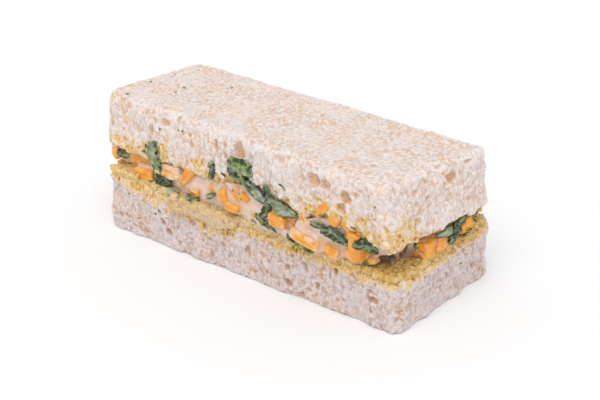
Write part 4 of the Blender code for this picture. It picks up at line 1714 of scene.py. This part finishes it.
@dataclass
class Leaf:
    """A piece of leaf, grown from its CAD solid: crumpled, veined and thin.

    thickness, step, farthest and hidden are in millimetres. The leaf is moved in until touching
    per cent of it lies in what is behind it, but by no more than farthest. A point that lies
    deeper than hidden behind the filling's surface takes no part in that.
    """

    node: str
    side: Side
    habit: Habit
    seed: int
    thickness: float = 0.24
    step: float = 0.17
    touching: float = 4.0
    farthest: float = 0.9
    hidden: float = 1.0

    def lie(self) -> tuple[Vector, float, float, float]:
        """Read how the CAD leaf lies.

        Returns:
            Its middle as place, height and out, its length, its width and its rise in radians.
        """
        side = self.side
        spots = [v.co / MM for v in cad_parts[self.node].data.vertices]
        flat = np.array([(s.dot(side.along), s.z) for s in spots])
        out = sum(s.dot(side.outward) for s in spots) / len(spots)
        middle = (flat.max(0) + flat.min(0)) / 2.0
        _, axes = np.linalg.eigh(np.cov((flat - middle).T))
        main, cross = axes[:, 1], axes[:, 0]
        if main[0] < 0.0:
            main = -main
        length = np.ptp((flat - middle) @ main)
        width = np.ptp((flat - middle) @ cross)
        return Vector((*middle, out)), length, width, math.atan2(main[1], main[0])

    def lay(self, bm: bmesh.types.BMesh, ground: list[BVHTree]) -> None:
        """Tilt and move the leaf in until it lies on what is behind it.

        Args:
            bm: the leaf's sheet in metres, where the CAD leaf lies.
            ground: search trees over the filling and the bread, in metres.
        """
        side = self.side
        rows, gaps = [], []
        for vert in bm.verts:
            spot = vert.co / MM
            place, height = spot.dot(side.along), spot.dot(side.rise)
            under = cast(ground, side, place, height)
            rows.append((1.0, place, height))
            gaps.append(-math.inf if under is None else spot.dot(side.outward) - under)
        plane, gap = np.array(rows), np.array(gaps)
        open_to_view = gap > -self.hidden
        if np.count_nonzero(open_to_view) < len(rows) // 4:
            return
        fit = np.linalg.lstsq(plane[open_to_view], gap[open_to_view], rcond=None)[0]
        shift = plane @ fit
        left = gap[open_to_view] - shift[open_to_view]
        shift = np.clip(shift + np.percentile(left, self.touching), 0.0, self.farthest)
        for vert, inward in zip(bm.verts, shift.tolist()):
            vert.co -= side.outward * inward * MM

    def build(self, ground: list[BVHTree], finish: bpy.types.Material) -> bpy.types.Object:
        """Grow the leaf.

        Args:
            ground: search trees over the filling and the bread, in metres.
            finish: the leaf's material.

        Returns:
            The finished leaf.
        """
        draw = random.Random(self.seed)
        noise.seed_set(self.seed)
        habit = self.habit.value
        shift = Vector((draw.uniform(0, 90), draw.uniform(0, 90), draw.uniform(0, 90)))
        middle, length, width, rise = self.lie()
        tree = cad_tree(self.node)
        bm = bmesh.new()
        bmesh.ops.create_grid(
            bm, x_segments=int(length / self.step), y_segments=int(width / self.step), size=0.5
        )
        painted_light_and_tone = bm.verts.layers.float.new("painted_light_and_tone")
        vein_and_painted_highlight = bm.verts.layers.float.new("vein_and_painted_highlight")
        milk = bm.verts.layers.float.new("milk")
        for vert in bm.verts:
            u, v = vert.co.x * 2.0, vert.co.y * 2.0
            body = math.sin(math.pi * (0.09 + 0.41 * (u + 1.0))) ** 0.55
            torn = noise.noise(Vector((u * length / 1.5, math.copysign(3.0, v), 0.0)) + shift)
            frayed = Vector((u * length / 0.7, math.copysign(7.0, v), 0.0))
            torn += 0.3 * noise.noise(frayed + shift)
            reach = width / 2.0 * body * (1.06 + habit.frill * 1.6 * torn)
            run = u * length / 2.0 * 1.06
            across = v * reach + 0.08 * length * math.sin(1.6 * u + shift.x) * (1.0 - abs(v))
            place, height = turned(middle.x, middle.y, run, across, rise)
            out = cast([tree], self.side, place, height)
            if out is None:
                near = tree.find_nearest(self.side.spot(place, height, middle.z) * MM)[0]
                out = near.dot(self.side.outward) / MM
            flat = Vector((run / habit.stretch, across, 0.0)) / habit.fold
            bent = flat + 0.35 * noise.noise_vector(flat * 1.3 + shift)
            ridge = 1.0 - min(1.0, 2.0 * abs(noise.noise(bent + shift)))
            fine = noise.noise(flat * 2.6 + shift)
            rib = math.exp(-((v * 3.2) ** 2) * 3.0)
            side_rib = max(0.0, math.cos(5.5 * (u * length / 2.4 + abs(v) * 1.1))) ** 6
            # Painted light and shade: brighter on the fold ridges, which also stand out most, and
            # on the upturned edges, darker in the folds.
            vert[painted_light_and_tone] = habit.painted_light_and_tone + 1.6 * (ridge - 0.7) + 0.3 * fine + 0.3 * abs(v) ** 6
            # Painted highlight: the fold crests are painted pale with the vein colour.
            crest = max(0.0, ridge - 0.85) / 0.15
            vert[vein_and_painted_highlight] = min(0.75, 0.45 * rib + 0.35 * side_rib + 0.3 * crest)
            film = 1.2 * habit.milk - 0.9 * habit.milk * ridge - 1.1 * abs(v) ** 5
            vert[milk] = film + 0.45 * noise.noise(flat / 1.4 - shift)
            lift = habit.crinkle * (ridge - 0.45 + 0.15 * fine) + 0.35 * abs(v) ** 3
            vert.co = self.side.spot(place, height, out + lift - 0.1) * MM
        self.lay(bm, ground)
        thicken(bm, bm.faces[:], self.side.outward * self.thickness * MM)
        bmesh.ops.recalc_face_normals(bm, faces=bm.faces)
        skin = Skin(written(bm, self.node))
        return settle(skin.finish(self.node + "_green", finish), Slot.LEAF, self.node)


@dataclass(frozen=True)
class Wisp:
    """A thin strip of leaf stuck to the filling, seen square on, in millimetres."""

    side: Side
    place: float
    height: float
    length: float
    width: float
    tilt: float
    bend: float = 0.15


WISPS = (
    Wisp(Side.FRONT, 20.0, 22.2, 3.4, 0.7, 73),
    Wisp(Side.FRONT, 28.2, 25.5, 1.8, 1.0, -9),
    Wisp(Side.FRONT, 7.9, 17.5, 2.5, 1.3, -48),
    Wisp(Side.FRONT, 38.3, 16.0, 2.1, 1.0, -36),
    Wisp(Side.FRONT, 37.2, 25.2, 1.6, 0.8, -32),
    Wisp(Side.FRONT, 43.3, 19.6, 1.3, 0.8, -61),
    Wisp(Side.FRONT, 44.9, 18.4, 2.4, 1.0, -78),
    Wisp(Side.FRONT, -1.9, 22.8, 0.7, 0.6, -33),
    Wisp(Side.FRONT, 0.6, 22.8, 0.8, 0.6, -13),
    Wisp(Side.FRONT, 6.6, 25.1, 0.8, 0.6, -16),
    Wisp(Side.FRONT, 4.3, 16.2, 2.0, 0.9, -6),
    Wisp(Side.FRONT, -21.0, 22.1, 0.9, 0.8, -58),
    Wisp(Side.FRONT, 1.5, 22.0, 0.9, 0.6, -13),
    Wisp(Side.FRONT, -35.1, 24.3, 1.0, 0.7, -29),
    Wisp(Side.FRONT, 31.8, 19.8, 1.1, 0.5, -14),
    Wisp(Side.FRONT, 15.6, 29.1, 2.4, 0.6, -35),
    Wisp(Side.BACK, -44.0, 18.4, 2.2, 0.9, 40),
    Wisp(Side.BACK, -12.0, 20.4, 2.6, 0.8, -20),
    Wisp(Side.BACK, 10.0, 17.2, 2.0, 0.9, 15),
    Wisp(Side.BACK, 29.0, 20.6, 2.4, 0.8, -50),
    Wisp(Side.LEFT, 3.0, 19.8, 2.0, 0.9, 30),
    Wisp(Side.LEFT, -8.0, 17.8, 1.6, 0.8, -15),
)


@dataclass
class LeafWisps:
    """All the thin strips of leaf, as one piece.

    A strip has so many columns and rows of faces, and its thickness is in millimetres.
    """

    wisps: tuple[Wisp, ...] = WISPS
    name: str = "leaf_wisps"
    columns: int = 18
    rows: int = 6
    thickness: float = 0.2

    def build(self, ground: list[BVHTree], finish: bpy.types.Material) -> bpy.types.Object:
        """Lay every strip on what carries it.

        Args:
            ground: search trees over the filling and the bread, in metres.
            finish: the leaf's material.

        Returns:
            The finished strips.
        """
        whole = bmesh.new()
        painted_light_and_tone = whole.verts.layers.float.new("painted_light_and_tone")
        for number, wisp in enumerate(self.wisps):
            made = bmesh.ops.create_grid(
                whole, x_segments=self.columns, y_segments=self.rows, size=0.5
            )["verts"]
            shift = Vector((3.7 * number, 1.9 * number, 0.0))
            tilt = math.radians(wisp.tilt)
            for vert in made:
                u, v = vert.co.x * 2.0, vert.co.y * 2.0
                run = u * wisp.length / 2.0
                body = math.sqrt(max(0.05, 1.0 - u * u))
                torn = 1.0 + 0.5 * noise.noise(Vector((run / 0.5, 5.0 * v, 0.0)) + shift)
                across = v * wisp.width / 2.0 * body * torn
                across += wisp.bend * wisp.length * (1.0 - u * u)
                place, height = turned(wisp.place, wisp.height, run, across, tilt)
                out = cast(ground, wisp.side, place, height) or 0.0
                ruffle = noise.noise(Vector((run, across, 0.0)) / 0.6 + shift)
                # Painted light: brighter where the ruffle lifts the strip, and towards its edges.
                vert[painted_light_and_tone] = 0.35 + 0.7 * ruffle + 0.3 * v * v
                vert.co = wisp.side.spot(place, height, out + 0.12 * ruffle - 0.05) * MM
            faces = list({face for vert in made for face in vert.link_faces})
            thicken(whole, faces, wisp.side.outward * self.thickness * MM)
        bmesh.ops.recalc_face_normals(whole, faces=whole.faces)
        return settle(Skin(written(whole, self.name)).finish(self.name, finish), Slot.LEAF)


class FleckKind(Enum):
    """What a fleck on the bread is: its name, its colour and the slot it belongs to."""

    HERB = ("herb", "#64803A", Slot.LEAF)
    CHEESE = ("cheese", "#F4CB88", Slot.FILLING)
    BROWN = ("browned", "#6A3B26", Slot.LEAF)
    DARK = ("pepper", "#4A4034", Slot.FILLING)


@dataclass(frozen=True)
class Fleck:
    """A fleck stuck on the bread, seen square on, in millimetres."""

    kind: FleckKind
    side: Side
    place: float
    height: float
    length: float
    width: float
    tilt: float = 0.0


FLECKS = (
    Fleck(FleckKind.CHEESE, Side.FRONT, -41.2, 31.4, 2.3, 0.7, -65),
    Fleck(FleckKind.CHEESE, Side.FRONT, -43.3, 8.9, 1.5, 0.8, 80),
    Fleck(FleckKind.CHEESE, Side.FRONT, -27.4, 27.0, 3.6, 0.9, 84),
    Fleck(FleckKind.CHEESE, Side.TOP, -17.6, -17.4, 0.8, 0.5, 20),
    Fleck(FleckKind.CHEESE, Side.TOP, -20.0, -9.9, 0.6, 0.5, 0),
    Fleck(FleckKind.HERB, Side.FRONT, -28.8, 9.8, 1.3, 0.5, -40),
    Fleck(FleckKind.HERB, Side.TOP, -43.1, -12.3, 1.0, 0.5, 30),
    Fleck(FleckKind.HERB, Side.TOP, -35.0, 0.2, 0.9, 0.4, 10),
    Fleck(FleckKind.HERB, Side.TOP, -34.1, -3.6, 0.6, 0.4, 60),
    Fleck(FleckKind.HERB, Side.TOP, -45.8, -1.7, 0.6, 0.5, -20),
    Fleck(FleckKind.HERB, Side.FRONT, 44.0, 33.0, 0.5, 0.4, 0),
    Fleck(FleckKind.BROWN, Side.FRONT, -27.9, 32.3, 0.5, 0.5, 0),
    Fleck(FleckKind.BROWN, Side.FRONT, -4.8, 26.4, 1.7, 0.9, -35),
    Fleck(FleckKind.BROWN, Side.FRONT, -34.0, 26.2, 1.3, 0.8, 70),
    Fleck(FleckKind.DARK, Side.FRONT, -40.5, 11.5, 0.5, 0.5, 0),
    Fleck(FleckKind.DARK, Side.FRONT, -30.5, 8.4, 0.6, 0.4, 0),
    Fleck(FleckKind.DARK, Side.FRONT, -3.8, 13.1, 0.8, 0.5, 10),
    Fleck(FleckKind.DARK, Side.TOP, -25.0, 8.0, 0.5, 0.4, 0),
    Fleck(FleckKind.HERB, Side.BACK, -20.0, 30.0, 0.9, 0.4, 30),
    Fleck(FleckKind.CHEESE, Side.BACK, 14.0, 9.0, 1.2, 0.7, 60),
    Fleck(FleckKind.HERB, Side.RIGHT, 6.0, 9.0, 0.7, 0.4, 20),
    Fleck(FleckKind.CHEESE, Side.LEFT, 5.0, 29.0, 1.4, 0.6, 70),
)


@dataclass(frozen=True)
class Sprinkle:
    """Tiny crumbs of one kind strewn over a stretch of a side, in millimetres."""

    kind: FleckKind
    side: Side
    count: int
    places: tuple[float, float]
    heights: tuple[float, float]
    seed: int

    def flecks(self) -> list[Fleck]:
        """Draw the crumbs' places and sizes.

        Returns:
            The crumbs.
        """
        draw = random.Random(self.seed)
        return [
            Fleck(
                self.kind, self.side, draw.uniform(*self.places), draw.uniform(*self.heights),
                draw.uniform(0.3, 0.75), draw.uniform(0.25, 0.45), draw.uniform(0.0, 180.0),
            )
            for _ in range(self.count)
        ]


SPRINKLES = (
    Sprinkle(FleckKind.CHEESE, Side.FRONT, 9, (-47.0, -34.0), (4.0, 11.0), 1),
    Sprinkle(FleckKind.CHEESE, Side.FRONT, 10, (-47.0, 5.0), (26.0, 35.0), 2),
    Sprinkle(FleckKind.CHEESE, Side.TOP, 22, (-45.0, 45.0), (-16.0, 15.0), 3),
    Sprinkle(FleckKind.CHEESE, Side.FRONT, 7, (5.0, 45.0), (28.0, 34.0), 4),
    Sprinkle(FleckKind.CHEESE, Side.RIGHT, 5, (-15.0, 12.0), (25.0, 34.0), 5),
    Sprinkle(FleckKind.CHEESE, Side.BACK, 10, (-44.0, 44.0), (24.0, 34.0), 6),
    Sprinkle(FleckKind.HERB, Side.FRONT, 2, (-40.0, 44.0), (26.0, 34.0), 8),
)


@dataclass
class Flecks:
    """The flecks of one kind, as one piece.

    thick is how far a fleck stands out of the bread, in millimetres.
    """

    kind: FleckKind
    flecks: tuple[Fleck, ...] = FLECKS
    sprinkles: tuple[Sprinkle, ...] = SPRINKLES
    thick: float = 0.3

    def build(self, ground: list[BVHTree]) -> bpy.types.Object:
        """Press the flecks into the bread.

        Args:
            ground: search trees over the slices, in metres.

        Returns:
            The finished flecks.
        """
        name, colour, slot = self.kind.value
        whole = bmesh.new()
        strewn = [fleck for sprinkle in self.sprinkles for fleck in sprinkle.flecks()]
        chosen = [fleck for fleck in (*self.flecks, *strewn) if fleck.kind is self.kind]
        for number, fleck in enumerate(chosen):
            made = bmesh.ops.create_icosphere(whole, subdivisions=2, radius=0.5)["verts"]
            shift = Vector((2.3 * number, 5.1 * number, 1.0))
            thick = min(self.thick, fleck.width)
            out = cast(ground, fleck.side, fleck.place, fleck.height) or 0.0
            tilt = math.radians(fleck.tilt)
            for vert in made:
                ball = vert.co * (1.0 + 0.7 * noise.noise(vert.co * 2.4 + shift))
                run, across = ball.x * fleck.length, ball.y * fleck.width
                place, height = turned(fleck.place, fleck.height, run, across, tilt)
                vert.co = fleck.side.spot(place, height, out + ball.z * thick * 2.0) * MM
        finish = PlainFinish(name + "_fleck", colour, 0.5).build()
        return settle(Skin(written(whole, name)).finish(name + "_flecks", finish), slot)


@dataclass(frozen=True)
class PlainFinish:
    """A plain even colour, for the floor and for flecks too small to show more."""

    name: str
    colour: str
    roughness: float

    def build(self) -> bpy.types.Material:
        """Make the material.

        Returns:
            A material with no texture.
        """
        # One even matt colour: white floor that only takes shadows, or a fleck like a dot.
        made, _, shader = start_material(self.name)
        shader.inputs["Base Color"].default_value = linear(self.colour)
        shader.inputs["Roughness"].default_value = self.roughness
        return made


@dataclass
class Studio:
    """A white floor, soft white light from all round and one wide lamp, high in front.

    Places and floor_size are in millimetres, as is the lens, and angles in degrees. The camera
    looks along +Y and level until it is turned left, dropped and rolled.
    """

    camera_place: tuple[float, float, float] = (186.05, -201.36, 148.24)
    camera_turn: float = 42.07
    camera_drop: float = 26.12
    camera_roll: float = -2.85
    lens: float = 72.0
    floor_size: float = 3000.0
    sky: float = 0.7
    lamp_way: tuple[float, float, float] = (0.25, -0.42, 0.87)
    lamp_spread: float = 50.0
    lamp_power: float = 1.35

    def build_camera(self) -> None:
        """Set the camera that the picture was taken with."""
        turn, drop = math.radians(self.camera_turn), math.radians(self.camera_drop)
        roll = math.radians(self.camera_roll)
        ahead = Vector(
            (-math.sin(turn) * math.cos(drop), math.cos(turn) * math.cos(drop), -math.sin(drop))
        )
        across = ahead.cross(UP).normalized()
        upward = across.cross(ahead)
        level_x = across * math.cos(roll) + upward * math.sin(roll)
        level_y = upward * math.cos(roll) - across * math.sin(roll)
        camera = bpy.data.objects.new("camera", bpy.data.cameras.new("camera"))
        aim = Matrix((level_x, level_y, -ahead)).transposed().to_4x4()
        camera.matrix_world = Matrix.Translation(Vector(self.camera_place) * MM) @ aim
        camera.data.lens = self.lens
        camera.data.clip_start = 10.0 * MM
        bpy.context.scene.collection.objects.link(camera)
        bpy.context.scene.camera = camera

    def build_floor(self) -> None:
        """Lay the white floor."""
        bm = bmesh.new()
        bmesh.ops.create_grid(bm, x_segments=1, y_segments=1, size=self.floor_size * MM / 2.0)
        mesh = written(bm, "floor")
        mesh.materials.append(PlainFinish("white_floor", "#F9FAFB", 0.9).build())
        floor = bpy.data.objects.new("floor", mesh)
        bpy.context.scene.collection.objects.link(floor)

    def build_light(self) -> None:
        """Light the scene."""
        scene = bpy.context.scene
        world = bpy.data.worlds.new("studio")
        world.use_nodes = True
        sky = world.node_tree.nodes["Background"]
        sky.inputs["Color"].default_value = (1.0, 1.0, 1.0, 1.0)
        sky.inputs["Strength"].default_value = self.sky
        scene.world = world
        lamp = bpy.data.objects.new("lamp", bpy.data.lights.new("lamp", "SUN"))
        lamp.data.angle = math.radians(self.lamp_spread)
        lamp.data.energy = self.lamp_power
        lamp.rotation_euler = Vector(self.lamp_way).to_track_quat("Z", "Y").to_euler()
        scene.collection.objects.link(lamp)
        scene.view_settings.view_transform = "Standard"

    def build(self) -> None:
        """Build the camera, floor and light."""
        self.build_camera()
        self.build_floor()
        self.build_light()


# How far pesto has soaked up the top slice's front, and down the bottom slice's front.
TOP_REACH = (
    (-50.0, 6.0), (-44.0, 6.5), (-36.0, 6.5), (-28.0, 6.0), (-20.0, 5.5), (-12.0, 4.5),
    (-5.0, 1.6), (4.0, 2.0), (12.0, 5.5), (20.0, 6.0), (28.0, 6.0), (36.0, 8.5), (46.0, 9.5),
)
LOW_REACH = (
    (-48.0, 0.8), (-42.0, 3.0), (-33.0, 6.5), (-27.0, 4.2), (-16.0, 4.2), (-4.0, 4.0),
    (-1.0, 1.8), (4.0, 3.2), (12.0, 3.6), (22.0, 3.0), (34.0, 2.4), (46.0, 1.6),
)

TOP_DENTS = (
    Dent(Side.FRONT, 0.9, 34.0, 1.7, 2.7, 1.5),
    Dent(Side.FRONT, 25.8, 34.1, 2.0, 2.0, 1.3),
    Dent(Side.FRONT, 29.2, 33.9, 1.7, 1.5, 1.2),
    Dent(Side.FRONT, 35.4, 32.6, 1.7, 1.9, 1.3),
    Dent(Side.FRONT, 15.2, 36.2, 2.2, 1.1, 0.6),
    Dent(Side.FRONT, 33.7, 29.5, 1.4, 1.5, 1.1),
    Dent(Side.FRONT, -26.2, 34.3, 2.1, 1.0, 1.0),
    Dent(Side.FRONT, -31.6, 31.1, 0.8, 1.5, 1.0),
    Dent(Side.FRONT, -20.8, 36.4, 0.5, 1.4, 0.8),
    Dent(Side.FRONT, -16.2, 31.2, 0.9, 0.9, 0.9),
    Dent(Side.FRONT, -18.7, 33.4, 0.6, 0.9, 0.8),
    Dent(Side.FRONT, -6.8, 33.6, 0.6, 2.6, 0.8),
    Dent(Side.FRONT, -3.6, 33.2, 0.6, 2.4, 0.8),
    Dent(Side.FRONT, -9.6, 34.4, 0.5, 2.0, 0.7),
    Dent(Side.RIGHT, 1.4, 33.1, 1.8, 1.4, 1.2),
    Dent(Side.RIGHT, -6.7, 31.1, 0.5, 0.9, 0.8),
    Dent(Side.RIGHT, -4.6, 26.6, 0.5, 0.5, 0.7),
    Dent(Side.RIGHT, -10.4, 26.9, 1.2, 0.6, 0.8),
    Dent(Side.RIGHT, 7.1, 35.3, 1.5, 0.6, 0.8),
    Dent(Side.RIGHT, -2.1, 36.6, 0.9, 0.6, 0.7),
    Dent(Side.TOP, 36.7, -11.0, 1.0, 0.8, 0.8),
    Dent(Side.TOP, 28.3, -7.0, 0.9, 0.8, 0.8),
    Dent(Side.TOP, -27.8, -12.8, 1.2, 0.8, 0.8),
)
LOW_DENTS = (
    Dent(Side.FRONT, -27.9, 7.1, 1.1, 1.2, 1.0),
    Dent(Side.FRONT, -25.6, 4.6, 1.5, 1.0, 1.0),
    Dent(Side.FRONT, -42.2, 5.1, 0.6, 0.6, 0.7),
    Dent(Side.FRONT, 40.3, 7.3, 1.8, 0.9, 1.0),
    Dent(Side.FRONT, 24.2, 5.4, 0.9, 1.2, 1.0),
    Dent(Side.FRONT, 15.0, 3.2, 1.2, 1.2, 0.9),
    Dent(Side.FRONT, 15.0, 7.5, 0.7, 0.9, 0.8),
    Dent(Side.FRONT, 20.4, 8.9, 0.6, 1.2, 0.9),
    Dent(Side.FRONT, 29.6, 10.9, 0.9, 1.2, 0.9),
    Dent(Side.FRONT, 16.3, 10.7, 0.6, 0.6, 0.7),
    Dent(Side.FRONT, 21.7, 3.6, 0.6, 0.6, 0.7),
    Dent(Side.FRONT, 30.2, 3.5, 0.6, 0.6, 0.7),
    Dent(Side.RIGHT, 12.3, 5.3, 0.9, 0.9, 0.8),
    Dent(Side.RIGHT, 8.3, 5.3, 0.6, 0.6, 0.7),
)

FRONT_HABITS = (
    Habit.SHADED, Habit.PART_COATED, Habit.SHADED, Habit.COATED, Habit.DARK, Habit.CURLY,
    Habit.CURLY, Habit.STEM, Habit.CURLY, Habit.COATED, Habit.DARK, Habit.DARK,
    Habit.DARK, Habit.SHADED, Habit.DARK, Habit.DARK, Habit.DARK,
)
RIGHT_HABITS = (Habit.COATED, Habit.SHADED, Habit.DARK, Habit.DARK, Habit.SHADED)
BACK_HABITS = (Habit.DARK, Habit.PART_COATED, Habit.CURLY, Habit.COATED, Habit.DARK)
LEFT_HABITS = (Habit.CURLY, Habit.PART_COATED)


def build_bread() -> list[BVHTree]:
    """Build both slices.

    Returns:
        Search trees over the finished slices, in metres.
    """
    # Painted shade: the bottom slice gets a darker, greyer copy of the crumb, for the shade that
    # falls on its front.
    shaded_low_crumb = CrumbFinish(
        name="white_bread_crumb_low_painted_shade", wall="#E4D9DA", crumb="#CFBDB7", hollow="#C9A287",
        warm="#D6BAA6",
    ).build()
    low = BreadSlice(
        "bread_bottom", "pesto_bottom", "bread_bottom_crumb", 11, 1.0, LOW_REACH, LOW_DENTS
    ).build(shaded_low_crumb)
    crumb = CrumbFinish().build()
    top = BreadSlice(
        "bread_top", "pesto_top", "bread_top_crumb", 23, -1.0, TOP_REACH, TOP_DENTS
    ).build(crumb)
    PestoLayer("pesto_bottom", "pesto_lower", 4, -1.0).build(PestoFinish().build())
    PestoLayer("pesto_top", "pesto_upper", 21, 1.0).build(crumb)
    return [tree_over(low.data), tree_over(top.data)]


def build_filling(slices: list[BVHTree]) -> None:
    """Build the cream, the cheese and the leaves.

    Args:
        slices: search trees over the slices, in metres.
    """
    cream = Cream()
    skin, depth = cream.shape()
    soft = tree_over(skin.mesh)
    shreds = CheeseShreds().build(soft, slices, CheeseFinish().build())
    cheese = tree_over(shreds.data)
    cream.build(skin, depth, cheese, CreamFinish().build())
    green = LeafFinish().build()
    habits = {
        Side.FRONT: FRONT_HABITS, Side.RIGHT: RIGHT_HABITS,
        Side.BACK: BACK_HABITS, Side.LEFT: LEFT_HABITS,
    }
    leaves = [(side, habit) for side, several in habits.items() for habit in several]
    for number, (side, habit) in enumerate(leaves, 1):
        Leaf(f"leaf_{number:02d}", side, habit, number).build([soft, cheese, *slices], green)
    LeafWisps().build([soft, cheese, *slices], green)


def main() -> None:
    """Build the studio, then the sandwich from the bottom slice up."""
    logging.basicConfig(level=logging.INFO, format="%(message)s")
    Studio().build()
    slices = build_bread()
    build_filling(slices)
    for kind in FleckKind:
        Flecks(kind).build(slices)
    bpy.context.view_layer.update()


if __name__ == "__main__":
    main()
